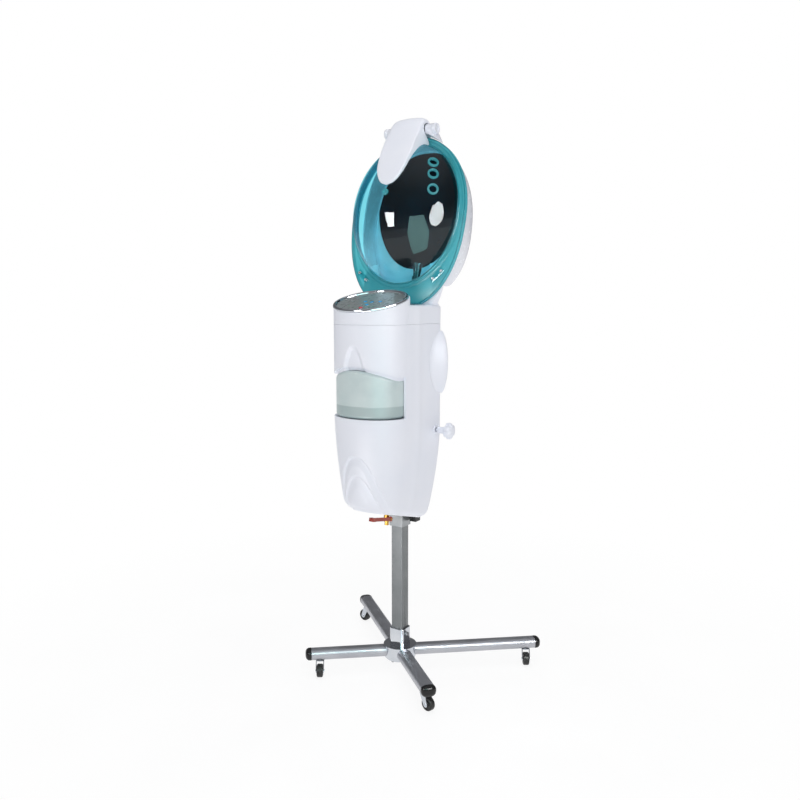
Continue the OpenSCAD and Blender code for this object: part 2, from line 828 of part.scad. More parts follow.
module pivot_caps() {
    color(white) hood_frame() for (s = [-1, 1]) difference() {
        translate([s > 0 ? 0 : -2 * ear_out - (cap_out - ear_out), 0, 0])
            along_hinge(ear_out, cap_out, 13);
        along_hinge(-ear_out - 4, ear_out + 4, pin_r);
    }
}

// Arched opening for the face, low in the back of the shell
module face_opening() {
    translate([0, 262, 0]) rotate([90, 0, 0]) linear_extrude(200)
        polygon(concat(arc([0, -200], 92, 0, 180, 24), [[-92, -320], [92, -320]]));
}

module hood_shell() {
    color(white) hood_frame() difference() {
        union() {
            shell_volume();
            shoulders();
        }
        shell_volume(shell_t);
        flange_plate(2.4, -80, rim_y - 1.2);
        along_hinge(-ear_in - 1, ear_in + 1, hump_r + 2.5);
        along_hinge(-100, 100, pin_r);
        for (x = [ear_out, -ear_out - 50]) along_hinge(x, x + 50, 13 + gap);
        translate([-200, 0, -300]) cube([400, 28, 166]);
        translate([-200, 30, -134]) rotate([22, 0, 0]) translate([0, -100, -200]) cube([400, 100, 200]);
        face_opening();
    }
}

module hood_liner() {
    color(dark) hood_frame() difference() {
        shell_volume(shell_t + gap);
        shell_volume(shell_t + gap + 2.5);
        translate([-300, -50, -300]) cube([600, 125, 600]);
        translate([-300, 0, -300]) cube([600, 300, 190]);
        face_opening();
    }
}

module steam_nozzle() {
    color(black) hood_frame() translate([hose_x, 16, neck_top + 0.2]) difference() {
        union() {
            cylinder(r = 12, h = 10, $fn = 40);
            translate([0, 0, 9.8]) cylinder(r1 = 9, r2 = 13, h = 34, $fn = 40);
            translate([0, 0, 43.8]) cylinder(r = 13, h = 3, $fn = 40);
        }
        translate([0, 0, -1]) cylinder(r = 5, h = 60, $fn = 40);
    }
}

hub_body();
hub_bottom_plate();
post_socket();
hub_screws();
socket_bolt();
post();
post_cap();
front_leg_left();
front_leg_right();
rear_leg_left();
rear_leg_right();
leg_end_caps();
caster_fork_front_left();
caster_fork_front_right();
caster_fork_rear_left();
caster_fork_rear_right();
caster_wheel_front_left();
caster_wheel_front_right();
caster_wheel_rear_left();
caster_wheel_rear_right();
slide_sleeve();
sleeve_bushes();
height_knob();
front_housing();
rear_cover();
base_plate();
top_housing();
panel_bezel();
control_panel();
power_button();
time_up_button();
time_down_button();
heat_button();
mist_button();
indicator_leds();
circuit_board();
water_tank();
tank_tray();
boiler();
heating_element();
transformer();
drain_spout();
drain_lever();
power_inlet();
side_ear_left();
side_ear_right();
housing_screws();
hood_neck();
hood_dome();
dome_fixing_plates();
dome_screws();
hinge_bracket();
hinge_pin();
pivot_caps();
hood_shell();
hood_liner();
steam_hose();
steam_nozzle();
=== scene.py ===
import json
import math

import bmesh
import bpy
from mathutils import Matrix, Vector


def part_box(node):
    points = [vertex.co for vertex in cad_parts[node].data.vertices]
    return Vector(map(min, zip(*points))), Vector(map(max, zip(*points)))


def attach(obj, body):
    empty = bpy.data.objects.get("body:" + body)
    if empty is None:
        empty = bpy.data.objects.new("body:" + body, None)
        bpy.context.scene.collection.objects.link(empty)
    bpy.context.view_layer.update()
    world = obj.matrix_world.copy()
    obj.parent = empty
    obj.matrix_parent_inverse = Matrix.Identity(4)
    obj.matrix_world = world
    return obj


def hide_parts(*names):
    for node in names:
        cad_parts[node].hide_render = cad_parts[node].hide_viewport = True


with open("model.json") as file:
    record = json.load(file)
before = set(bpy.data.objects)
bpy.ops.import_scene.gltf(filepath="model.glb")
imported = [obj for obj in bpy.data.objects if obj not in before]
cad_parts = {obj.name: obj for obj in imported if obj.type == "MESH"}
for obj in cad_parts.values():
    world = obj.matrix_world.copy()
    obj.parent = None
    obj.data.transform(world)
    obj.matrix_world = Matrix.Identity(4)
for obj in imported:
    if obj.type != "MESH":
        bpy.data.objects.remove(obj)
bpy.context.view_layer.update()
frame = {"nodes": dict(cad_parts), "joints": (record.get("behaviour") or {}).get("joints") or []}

MM = 0.001

# ---------- driving sizes, in millimetres, from the frame ----------


def low(node):
    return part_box(node)[0] / MM


def high(node):
    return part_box(node)[1] / MM


SIDES = ((-1, "left"), (1, "right"))
HALF_W = high("front_housing").x        # half width of the body
FRONT_Y = low("front_housing").y        # foremost point of the bowed front
BACK_Y = high("rear_cover").y
SEAM_Z = high("front_housing").z        # seam between housing and top moulding
DECK_Z = low("hood_neck").z             # flat top behind the panel's column
JOINT_AT = {joint["name"]: Vector(joint["pos_m"]) / MM for joint in frame["joints"] if "pos_m" in joint}

WALL = 3.0
CREASE_Y = -132.0                       # where the bowed front meets the flat sides
BOW = CREASE_Y - FRONT_Y
SPLIT_Y = 28.0                          # front housing ahead of it, rear cover behind
CORNER_R = 18.0                         # rear corners of the body
BELLY_Z, BELLY_Y = 470.0, 10.0          # the sloped underside passes through here
BELLY_RISE = math.tan(math.radians(11.8))
SCREW_HEIGHTS = (545.0, 760.0, 960.0)   # screws of the rear cover
BELLY_OPENING = 46.0                    # inset of the opening that the base plate fills

SILL_Z = 760.0                          # tank window
ARCH_Z, ARCH_FALL = 895.0, 28.0
POCKET = 9.0                            # depth of the recess round the tank
TANK_HALF = 96.0
TANK_LIP = 9.5                          # recess visible above the tank

PANEL_AT, PANEL_SLOPE = Vector((0, -139, 1057.5)), math.radians(18.3)
COLUMN_BACK = 74.0
PANEL = Matrix.Translation(PANEL_AT) @ Matrix.Rotation(PANEL_SLOPE, 4, "X")

HOOD_TILT = Matrix.Rotation(math.radians(-11.8), 4, "X")
HINGE_Y, HINGE_Z = -20.5, 220.5         # hinge axis in the hood's own frame
HOOD_AT = JOINT_AT["hood_cover_hinge"] - HOOD_TILT @ Vector((0, HINGE_Y, HINGE_Z))
HOOD = Matrix.Translation(HOOD_AT) @ HOOD_TILT
HUMP_R = 34.0                           # the bracket's hump over the hinge
EAR_OUTER = 70.0                        # outer face of the hinge ears
DOME_A, DOME_C, DOME_D = 160.0, 193.0, 110.0
FLANGE_A, FLANGE_C, SKIRT = 180.0, 214.0, 248.0
RIM_Y = 15.6                            # front edge of the rear shell
ARM_Y, NECK_TOP = 14.2, -182.0          # front of the neck's arms, and its top between them
SHELL_A, SHELL_C = 152.0, 208.0
LINER_Y = 72.0                          # front edge of the dark liner
LINER_MID, LINER_DROP = 70.0, 203.0     # its lower edge is half an ellipse below this height
VENTS = ((102, 115), (112, 80), (120, 37))

LEG_ANGLE = math.radians(49.6)          # each leg from the front-to-back line
LEG_ENDS = (("front", -1, 254.0), ("rear", 1, 397.0))     # name, direction along Y, reach of the tube

FILL = 0.39                             # even light from all round, where white is 1
FRONT_POWER, RIGHT_POWER, TOP_POWER, REAR_POWER = 1.5, 15.0, 22.0, 13.0
DOME_AT = Vector((60, -60, 1270))       # the glint cards are placed about this point
OCTABOX_AT, OCTABOX_HALF = (66, 10), (20, 15)    # eight-sided lamp: degrees round and up

# ---------- mesh helpers ----------


def signed_power(value, power):
    return math.copysign(abs(value) ** power, value)


def oval(a, b, n=2.0, steps=96):
    """Closed superellipse outline with half-axes a and b."""
    angles = [2 * math.pi * i / steps for i in range(steps)]
    return [(a * signed_power(math.cos(t), 2 / n), b * signed_power(math.sin(t), 2 / n)) for t in angles]


def smooth_step(value, start, end):
    t = min(1.0, max(0.0, (value - start) / (end - start)))
    return t * t * (3 - 2 * t)


def skin(rows, closed=True, first_cap=False, last_cap=False):
    """Vertices and quads of a surface through rows of points, all of one length."""
    count = len(rows[0])
    verts = [point for row in rows for point in row]
    faces = []
    for r in range(len(rows) - 1):
        for c in range(count if closed else count - 1):
            a, b = r * count + c, r * count + (c + 1) % count
            faces.append((a, b, b + count, a + count))
    if first_cap:
        faces.append(tuple(reversed(range(count))))
    if last_cap:
        faces.append(tuple(range(len(verts) - count, len(verts))))
    return verts, faces


def link(obj):
    bpy.context.scene.collection.objects.link(obj)
    return obj


def build(name, verts, faces, place=Matrix.Identity(4)):
    """A smooth-shaded object from points in millimetres, welded and with normals out."""
    mesh = bpy.data.meshes.new(name)
    mesh.from_pydata([(place @ Vector(v)) * MM for v in verts], [], faces)
    cleaned = bmesh.new()
    cleaned.from_mesh(mesh)
    bmesh.ops.remove_doubles(cleaned, verts=cleaned.verts, dist=0.02 * MM)
    bmesh.ops.dissolve_degenerate(cleaned, edges=cleaned.edges, dist=0.005 * MM)
    bmesh.ops.recalc_face_normals(cleaned, faces=cleaned.faces)
    for face in cleaned.faces:
        face.smooth = True
    cleaned.to_mesh(mesh)
    cleaned.free()
    return link(bpy.data.objects.new(name, mesh))


def settle(obj, body, finish, hides=()):
    """Gives a finished mesh its material, its body and the CAD nodes it stands for."""
    obj.data.materials.clear()
    obj.data.materials.append(finish)
    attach(obj, body)
    if hides:
        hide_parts(*hides)


def modifier(obj, kind, **settings):
    added = obj.modifiers.new(kind.lower(), kind)
    for key, value in settings.items():
        setattr(added, key, value)
    return added


def thicken(obj, wall):
    """Gives an open skin a wall on its inside."""
    modifier(obj, "SOLIDIFY", thickness=wall * MM, offset=-1, use_quality_normals=True)


def even_shading(obj):
    modifier(obj, "WEIGHTED_NORMAL", keep_sharp=True)


def soften(obj, width, segments=2, angle=32):
    """Rounds the sharp edges and evens out the shading."""
    modifier(obj, "BEVEL", width=width * MM, segments=segments, limit_method="ANGLE",
             angle_limit=math.radians(angle), use_clamp_overlap=True)
    even_shading(obj)


def bake_modifiers(obj):
    """Replaces the mesh by its evaluated self and drops the modifiers."""
    graph = bpy.context.evaluated_depsgraph_get()
    final = bpy.data.meshes.new_from_object(obj.evaluated_get(graph))
    obj.modifiers.clear()
    obj.data = final


def carve(obj, *cutters, operation="DIFFERENCE"):
    """Cuts the cutters out of obj, or joins them to it, and removes them."""
    for cutter in cutters:
        modifier(obj, "BOOLEAN", operation=operation, object=cutter, solver="EXACT")
        bake_modifiers(obj)
        bpy.data.objects.remove(cutter)
    for face in obj.data.polygons:
        face.use_smooth = True


def box_cutter(corner, size, place=Matrix.Identity(4)):
    rows = [[(corner[0] + size[0] * u, corner[1] + size[1] * v, corner[2] + size[2] * w)
             for u, v in ((0, 0), (1, 0), (1, 1), (0, 1))] for w in (0, 1)]
    return build("cutter", *skin(rows, True, True, True), place)


def lathe(profile, steps=64):
    """Rows of a surface of revolution about Z, from (radius, height) pairs."""
    turns = [2 * math.pi * i / steps for i in range(steps)]
    return [[(r * math.cos(t), r * math.sin(t), z) for t in turns] for r, z in profile]


def facing(at, direction):
    """Placement whose +Z points along direction."""
    return Matrix.Translation(at) @ Vector(direction).to_track_quat("Z", "Y").to_matrix().to_4x4()


# ---------- material helpers ----------


class Shader:
    """Small wrapper that keeps node set-ups short."""

    def __init__(self, name):
        self.material = bpy.data.materials.new(name)
        self.material.use_nodes = True
        self.tree = self.material.node_tree
        self.tree.nodes.clear()
        self.place = self.add("ShaderNodeTexCoord").outputs["Object"]

    def add(self, kind, inputs=None, **settings):
        node = self.tree.nodes.new(kind)
        for key, value in settings.items():
            setattr(node, key, value)
        for key, value in (inputs or {}).items():
            self.set(node.inputs[key], value)
        return node

    def set(self, socket, value):
        if isinstance(value, bpy.types.NodeSocket):
            self.tree.links.new(value, socket)
        else:
            socket.default_value = value

    def noise(self, scale, stretch=(1, 1, 1), detail=4.0):
        mapping = self.add("ShaderNodeMapping", {"Vector": self.place, "Scale": stretch})
        return self.add("ShaderNodeTexNoise", {"Vector": mapping.outputs[0], "Scale": scale,
                                               "Detail": detail}).outputs[0]

    def spread(self, value, low_value, high_value, start=0.3, end=0.7):
        """Maps value from start..end to low_value..high_value."""
        return self.add("ShaderNodeMapRange", {"Value": value, "From Min": start, "From Max": end,
                                               "To Min": low_value, "To Max": high_value}).outputs[0]

    def blend(self, factor, first, second):
        mix = self.add("ShaderNodeMix", data_type="RGBA")
        self.set(mix.inputs[0], factor)
        self.set(mix.inputs[6], first)
        self.set(mix.inputs[7], second)
        return mix.outputs[2]

    def relief(self, height, depth):
        return self.add("ShaderNodeBump", {"Height": height, "Strength": 1.0,
                                           "Distance": depth * MM}).outputs[0]

    def sheen(self, normal):
        """Mirror share of a clear skin: faint head on, strong at grazing angles, none from inside."""
        facing_share = self.add("ShaderNodeLayerWeight", {"Blend": 0.5, "Normal": normal}).outputs["Facing"]
        steep = self.add("ShaderNodeMath", {0: facing_share, 1: 5.0}, operation="POWER").outputs[0]
        share = self.spread(steep, 0.045, 0.7, 0, 1)
        inside = self.add("ShaderNodeNewGeometry").outputs["Backfacing"]
        outside = self.add("ShaderNodeMath", {0: 1.0, 1: inside}, operation="SUBTRACT").outputs[0]
        return self.add("ShaderNodeMath", {0: share, 1: outside}, operation="MULTIPLY").outputs[0]

    def seen(self, tint):
        """The tint to the camera's eye, and almost clear for the light that comes in."""
        eye = self.add("ShaderNodeLightPath").outputs["Is Camera Ray"]
        return self.blend(eye, (0.9, 0.98, 0.99, 1), tint)

    def height(self):
        """Height above the floor in metres."""
        split = self.add("ShaderNodeSeparateXYZ", {"Vector": self.place})
        return split.outputs["Z"]

    def finish(self, surface):
        self.add("ShaderNodeOutputMaterial", {"Surface": surface})
        return self.material

    def finish_solid(self, inputs):
        """Finishes with one principled surface."""
        return self.finish(self.add("ShaderNodeBsdfPrincipled", inputs).outputs[0])


def linear(red, green, blue):
    """Display colour 0..255 to a linear RGBA tuple."""
    def decode(value):
        value /= 255
        return value / 12.92 if value <= 0.04045 else ((value + 0.055) / 1.055) ** 2.4
    return decode(red), decode(green), decode(blue), 1.0


def moulded(name, colour, shade, roughness, coat=0.0, grain=0.004, glow=0.0, mirror=0.5):
    """Moulded plastic: faint colour drift, uneven gloss and a fine skin texture."""
    s = Shader(name)
    drift = s.noise(9, detail=3)
    fine = s.noise(900, detail=2)
    colours = s.blend(s.spread(drift, 0, 1), linear(*colour), linear(*shade))
    gloss = s.spread(s.noise(60), roughness * 0.85, roughness * 1.2)
    return s.finish_solid({
        "Base Color": colours, "Roughness": gloss, "Coat Weight": coat, "Coat Roughness": 0.08,
        "Specular IOR Level": mirror,
        "Normal": s.relief(fine, grain), "Emission Color": colours, "Emission Strength": glow})


def metal(name, colour, shade, roughness, stretch=(1, 1, 1), scale=300, grain=0.02, cloud=0.25):
    """Metal with brush or polish marks along the axis that stretch keeps long."""
    s = Shader(name)
    marks = s.noise(scale, stretch, detail=3)
    clouds = s.noise(14, detail=4)
    colours = s.blend(s.spread(clouds, 0, 1), linear(*colour), linear(*shade))
    gloss = s.add("ShaderNodeMath", {0: s.spread(marks, roughness * 0.8, roughness * 1.3),
                                     1: s.spread(clouds, 0, roughness * cloud)}, operation="ADD")
    return s.finish_solid({
        "Base Color": colours, "Metallic": 1.0, "Roughness": gloss.outputs[0],
        "Normal": s.relief(marks, grain)})


def chrome():
    return metal("chrome_plate", (214, 217, 222), (190, 195, 202), 0.07, scale=120, grain=0.004)


def leg_chrome():
    return metal("leg_chrome", (184, 185, 190), (172, 173, 179), 0.4, scale=30, grain=0.0005, cloud=0.1)


def zinc():
    return metal("zinc_steel", (168, 170, 172), (140, 143, 146), 0.34, scale=240)


def post_steel():
    return metal("post_steel", (138, 140, 141), (122, 125, 127), 0.36, (1, 1, 0.02), 700, 0.003)


def brass():
    return metal("brass", (205, 163, 82), (165, 125, 58), 0.22, scale=200)


def element_steel():
    return metal("element_steel", (120, 108, 96), (84, 74, 66), 0.45, scale=180, grain=0.05)


def transformer_iron():
    """Stacked laminations: fine dark lines across the block."""
    s = Shader("transformer_iron")
    bands = s.add("ShaderNodeTexWave", {"Vector": s.place, "Scale": 300.0, "Distortion": 0.3},
                  bands_direction="Z")
    colours = s.blend(bands.outputs[1], linear(62, 62, 68), linear(98, 98, 104))
    return s.finish_solid({
        "Base Color": colours, "Metallic": 0.6, "Roughness": s.spread(s.noise(80), 0.4, 0.65),
        "Normal": s.relief(bands.outputs[1], 0.1)})


def white_plastic():
    return moulded("white_plastic", (240, 242, 250), (236, 239, 248), 0.4, mirror=0.2)


def sheer_white():
    """Slightly milky white of the thin hood shell and its caps."""
    s = Shader("sheer_white")
    colours = s.blend(s.spread(s.noise(8, detail=2), 0, 1), linear(238, 240, 248), linear(228, 231, 242))
    return s.finish_solid({
        "Base Color": colours, "Roughness": s.spread(s.noise(50), 0.2, 0.3), "Coat Weight": 0.3,
        "Subsurface Weight": 0.15, "Subsurface Radius": (0.006, 0.006, 0.006),
        "Normal": s.relief(s.noise(800), 0.003)})


def black_plastic():
    return moulded("black_plastic", (12, 12, 13), (20, 20, 22), 0.24, mirror=0.4)


def caster_rubber():
    """Black tread with a dusty bloom."""
    s = Shader("caster_rubber")
    dust = s.spread(s.noise(120, detail=6), 0, 0.35, 0.45, 0.75)
    colours = s.blend(dust, linear(16, 16, 17), linear(70, 68, 66))
    return s.finish_solid({
        "Base Color": colours, "Roughness": s.spread(dust, 0.38, 0.75, 0, 0.35),
        "Normal": s.relief(s.noise(500), 0.06)})


def panel_film():
    """Satin grey membrane with a metallic fleck under a clear coat."""
    s = Shader("panel_film")
    fleck = s.add("ShaderNodeTexVoronoi", {"Vector": s.place, "Scale": 1500.0})
    colours = s.blend(s.spread(fleck.outputs[0], 0, 1, 0, 0.8), linear(158, 168, 168), linear(128, 138, 139))
    return s.finish_solid({
        "Base Color": colours, "Metallic": 0.2, "Roughness": s.spread(s.noise(70), 0.24, 0.34),
        "Coat Weight": 0.6, "Coat Roughness": 0.06, "Normal": s.relief(s.noise(900), 0.003)})


def tinted(name, through, glint, roughness=0.03, scuff=0.02):
    """Clear tinted plastic: light passes straight through with a tint, and the skin reflects."""
    s = Shader(name)
    drift = s.spread(s.noise(7, detail=2), 0.94, 1.06)
    tint = s.add("ShaderNodeVectorMath", {0: through[:3], 1: (1, 1, 1)}, operation="MULTIPLY")
    s.set(tint.inputs[1], s.add("ShaderNodeCombineXYZ", {0: drift, 1: drift, 2: drift}).outputs[0])
    bump = s.relief(s.noise(26, detail=2), scuff)
    clear = s.add("ShaderNodeBsdfTransparent", {"Color": s.seen(tint.outputs[0])})
    gloss = s.spread(s.noise(90), roughness * 0.7, roughness * 1.5)
    shine = s.add("ShaderNodeBsdfGlossy", {"Color": glint, "Roughness": gloss, "Normal": bump})
    mix = s.add("ShaderNodeMixShader", {0: s.sheen(bump), 1: clear.outputs[0], 2: shine.outputs[0]})
    return s.finish(mix.outputs[0])


def teal_clear():
    return tinted("teal_clear", (0.47, 0.88, 0.95), (0.92, 0.98, 1.0, 1))


def teal_band():
    """The doubled, mistier plastic of the flange: a little of its own colour."""
    s = Shader("teal_band")
    clear = s.add("ShaderNodeBsdfTransparent", {"Color": s.seen((0.36, 0.80, 0.86, 1))})
    body = s.add("ShaderNodeBsdfPrincipled", {
        "Base Color": s.blend(s.spread(s.noise(12), 0, 1), linear(76, 188, 196), linear(108, 204, 210)),
        "Roughness": s.spread(s.noise(70), 0.08, 0.18), "Normal": s.relief(s.noise(300), 0.01)})
    mix = s.add("ShaderNodeMixShader", {0: 0.42, 1: clear.outputs[0], 2: body.outputs[0]})
    return s.finish(mix.outputs[0])


def teal_edge_painted_dark():
    """The flange's ribs, where the eye looks along the plastic and it goes dark: that darkening is painted here
    as an opaque dark teal.
    """
    return moulded("teal_edge_painted_dark", (8, 104, 116), (20, 124, 136), 0.12)


def liner_dark():
    return moulded("liner_dark", (2, 14, 24), (4, 20, 32), 0.6, mirror=0.06)


def frosted_tank():
    """Frosted polypropylene with a water line in the lower part."""
    s = Shader("frosted_tank")
    sheen = s.spread(s.noise(20), 0, 1)
    dry = s.blend(sheen, linear(206, 219, 219), linear(193, 208, 209))
    wet = s.blend(sheen, linear(176, 192, 192), linear(166, 184, 185))
    ripple = s.spread(s.noise(18, (1, 1, 0.3)), -0.0008, 0.0008)
    level = s.add("ShaderNodeMath", {0: s.height(), 1: ripple}, operation="ADD").outputs[0]
    water = (SILL_Z + 32) * MM
    colours = s.blend(s.spread(level, 1, 0, water - 0.001, water + 0.002), dry, wet)
    return s.finish_solid({
        "Base Color": colours, "Roughness": s.spread(s.noise(40), 0.36, 0.46), "Coat Weight": 0.1,
        "Coat Roughness": 0.2, "Subsurface Weight": 0.4, "Subsurface Radius": (0.012, 0.014, 0.014),
        "Normal": s.relief(s.noise(700), 0.03)})


# Moulded plastic that glows in its own colour: lamp light on the indicator LEDs, painted glow on the keys, which
# hold no lamp.
def glowing_plastic(name, colour, shade, glow):
    return moulded(name, colour, shade, 0.2, coat=0.5, glow=glow)


def board_green():
    return moulded("board_green", (32, 96, 60), (24, 78, 50), 0.35, grain=0.08)


def tray_grey():
    return moulded("tray_grey", (188, 192, 200), (176, 180, 190), 0.4)


def lever_red():
    return moulded("lever_red", (164, 52, 30), (138, 40, 24), 0.32)


def hose_silicone():
    return moulded("hose_silicone", (204, 208, 212), (190, 196, 202), 0.45)


def floor_finish():
    """Pale floor that fades into the white surroundings away from the object."""
    s = Shader("floor_finish")
    reach = s.add("ShaderNodeVectorMath", {0: s.place}, operation="LENGTH").outputs["Value"]
    matt = s.add("ShaderNodeBsdfDiffuse", {
        "Color": s.blend(s.spread(s.noise(3), 0, 1), (0.16, 0.16, 0.16, 1), (0.18, 0.18, 0.18, 1))})
    glow = s.add("ShaderNodeEmission", {"Color": (1, 1, 1, 1), "Strength": 0.87})
    near = s.add("ShaderNodeAddShader", {0: matt.outputs[0], 1: glow.outputs[0]})
    far = s.add("ShaderNodeEmission", {"Color": (1, 1, 1, 1), "Strength": 1.0})
    mix = s.add("ShaderNodeMixShader", {0: s.spread(reach, 0, 1, 0.5, 1.6),
                                        1: near.outputs[0], 2: far.outputs[0]})
    return s.finish(mix.outputs[0])


# ---------- the body ----------


def belly(y):
    """Height of the sloped underside at depth y."""
    return BELLY_Z + (BELLY_Y - y) * BELLY_RISE


def draw_in(h):
    """Inset of the body at a height above its sloped underside."""
    h = max(0.0, h)
    return 26 * max(0.0, 1 - h / 250) ** 1.6 + 14 * math.exp(-h / 7)


def inside_arch(x, z, top, reach, drop, power):
    """Distance below an arch whose half width is reach at drop below its top."""
    ratio = max(abs(x), 0.5) / reach
    edge = top - drop * ratio ** (1 / power)
    slope = drop / power * ratio ** (1 / power - 1) / reach
    return (edge - z) / math.sqrt(1 + slope * slope)


def step_down(distance, depth, ramp):
    """A crisp step at distance 0 that climbs back over ramp."""
    if distance <= 0:
        return 0.0
    return depth * smooth_step(distance, 0, 5) * (1 - smooth_step(distance, 6, ramp))


def front_relief(x, z):
    """How far the front is pressed in: two arches low down and the finger scoop over the window."""
    outer = step_down(inside_arch(x, z, 664, 50, 51, 0.4), 4.5, 30)
    inner = step_down(inside_arch(x, z, 613, 37, 33, 0.46), 4.5, 40)
    scoop = inside_arch(x, z, 949, 34, 56, 0.42)
    pressed = 7.5 * smooth_step(scoop, 0, 13) if z > SILL_Z + 60 else 0.0
    return outer + inner + pressed


def side_relief(y):
    """Step behind the crease, then a soft ridge down the side."""
    step = 3.0 * math.exp(-max(0.0, y - CREASE_Y) / 20)
    ridge = 2.4 * math.exp(-((y + 74) / 14) ** 2)
    return step - ridge


def bow_column(angle):
    """Column of the bowed front; angle 0 is the right-hand crease, pi/2 the middle."""
    def at(inset, z):
        x = (HALF_W - inset) * math.cos(angle)
        inset += front_relief(x, z) * math.sin(angle) ** 0.5
        return (HALF_W - inset) * math.cos(angle), CREASE_Y - (BOW - inset) * math.sin(angle)
    return at


def side_column(side, fraction):
    """Column of a flat side, a fraction of the way from the crease to the rear corner."""
    def at(inset, z):
        y = CREASE_Y + (BACK_Y - inset - CORNER_R - CREASE_Y) * fraction
        return side * (HALF_W - inset - side_relief(y)), y
    return at


def corner_column(side, angle):
    def at(inset, z):
        centre_x, centre_y = HALF_W - inset - CORNER_R, BACK_Y - inset - CORNER_R
        return side * (centre_x + CORNER_R * math.cos(angle)), centre_y + CORNER_R * math.sin(angle)
    return at


def back_column(fraction):
    def at(inset, z):
        return (HALF_W - inset - CORNER_R) * fraction, BACK_Y - inset
    return at


BOW_STEPS, SIDE_STEPS, CORNER_STEPS, BACK_STEPS = 220, 44, 8, 20


def side_fractions():
    """Places of the side columns from the crease back, closer together near the crease."""
    return [(i / SIDE_STEPS) ** 1.4 for i in range(SIDE_STEPS + 1)]


def rear_columns(side):
    """One side from the crease to the middle of the back, without the middle itself."""
    turns = [math.pi / 2 * i / CORNER_STEPS for i in range(1, CORNER_STEPS + 1)]
    columns = [side_column(side, f) for f in side_fractions()] + [corner_column(side, t) for t in turns]
    return columns + [back_column(side * (1 - 2 * i / BACK_STEPS)) for i in range(1, BACK_STEPS // 2)]


def body_columns():
    """Columns all the way round: right side forward, bow, left side back, rear."""
    right, left = rear_columns(1)[::-1], rear_columns(-1)
    bow = [bow_column(math.pi * i / BOW_STEPS) for i in range(BOW_STEPS + 1)]
    is_bow = [False] * len(right) + [True] * len(bow) + [False] * (len(left) + 1)
    return right + bow + left + [back_column(0)], is_bow


def arch_height(x):
    """Top edge of the tank's window, x from the middle."""
    return ARCH_Z - ARCH_FALL * min(1.0, (x / (HALF_W - WALL)) ** 2)


def body_rows():
    """Rows of the whole outer skin, and the row numbers where the window starts and ends."""
    columns, is_bow = body_columns()

    def row(height_at, extra=0.0):
        points = []
        for column, bow in zip(columns, is_bow):
            x, y = column(0, 800)
            z = height_at(x, y)
            inset = draw_in(z - belly(y)) + (extra if bow else 0.0)
            x, y = column(inset, z)
            points.append((x, y, z))
        return points

    edge = [column(BELLY_OPENING, BELLY_Z) for column in columns]
    rows = [[(x, y, belly(y)) for x, y in edge]]
    lower = [0, 0.004, 0.009, 0.016, 0.025, 0.037, 0.05, 0.065] + [0.08 + 0.92 * i / 130 for i in range(131)]
    rows += [row(lambda x, y: belly(y) * (1 - s) + SILL_Z * s) for s in lower]
    first = len(rows)
    rows += [row(lambda x, y: SILL_Z + i / 12 * (arch_height(x) - TANK_LIP - SILL_Z), POCKET) for i in range(13)]
    rows.append(row(lambda x, y: arch_height(x), POCKET))
    last = len(rows) - 1
    rows += [row(lambda x, y: arch_height(x) * (1 - i / 40) + SEAM_Z * i / 40) for i in range(41)]
    return rows, is_bow, first, last


def body_skin(name, front):
    """The part of the skin ahead of (or behind) the split, with the tank's window open."""
    rows, is_bow, first, last = body_rows()
    verts, faces = skin(rows)
    count = len(rows[0])

    def in_window(face):
        row = min(face) // count
        xs = [abs(verts[i][0]) for i in face]
        return first <= row < last - 1 and all(is_bow[i % count] for i in face) and max(xs) < TANK_HALF + 2

    obj = build(name, verts, [face for face in faces if not in_window(face)])
    cut = bmesh.new()
    cut.from_mesh(obj.data)
    at = SPLIT_Y if front else SPLIT_Y + 0.3
    bmesh.ops.bisect_plane(cut, geom=cut.verts[:] + cut.edges[:] + cut.faces[:], dist=1e-6,
                           plane_co=(0, at * MM, 0), plane_no=(0, 1, 0),
                           clear_outer=front, clear_inner=not front)
    cut.to_mesh(obj.data)
    cut.free()
    thicken(obj, WALL)
    soften(obj, 0.9, 2, 30)
    return obj


def front_housing(finish):
    settle(body_skin("front_housing_shell", True), "carriage", finish, ["front_housing"])


def rear_cover(finish):
    settle(body_skin("rear_cover_shell", False), "carriage", finish, ["rear_cover"])


def housing_screws(finish):
    """Dished screw heads, two in a row, seated on the drawn-in face of the rear cover."""
    profile = [(0, 0.5), (1.1, 0.5), (1.5, 1.5), (2.6, 1.3), (3.7, 0.5), (4, -0.6), (4, -2.0)]
    for row, z in enumerate(SCREW_HEIGHTS):
        h = z - belly(BACK_Y)
        lean = draw_in(h) - draw_in(h + 1)
        for side, hand in SIDES:
            x, y = back_column(side * 0.9)(draw_in(h), z)
            place = facing((x, y, z), (0, 1, -lean))
            obj = build(f"housing_screw_{row}_{hand}", *skin(lathe(profile, 40)), place)
            settle(obj, "carriage", finish, ["housing_screws"])


def panel_plane(y):
    """Height of the panel's slope at depth y."""
    return PANEL_AT.z + (y - PANEL_AT.y) * math.tan(PANEL_SLOPE)


def panel_column(finish):
    """Upright oval column that carries the sloped panel."""
    steps = 160
    bottom = SEAM_Z + 0.3

    def plan(inset, i):
        t = 2 * math.pi * i / steps
        depth = BOW if math.sin(t) < 0 else COLUMN_BACK
        return (HALF_W - inset) * math.cos(t), CREASE_Y + (depth - inset) * math.sin(t)

    rows = [[(*plan(14, i), bottom) for i in range(steps)]]
    for inset, s in ((0.6, 0), (0, 0.015), (0, 0.25), (0, 0.5), (0, 0.75), (0, 0.97), (0.5, 0.99), (1.6, 1)):
        row = []
        for i in range(steps):
            x, y = plan(inset, i)
            row.append((x, y, bottom * (1 - s) + panel_plane(y) * s))
        rows.append(row)
    for inset in (4, 14):
        rows.append([(*plan(inset, i), panel_plane(plan(inset, i)[1])) for i in range(steps)])
    obj = build("top_housing_column", *skin(rows + rows[:1]))
    even_shading(obj)
    settle(obj, "carriage", finish, ["top_housing"])


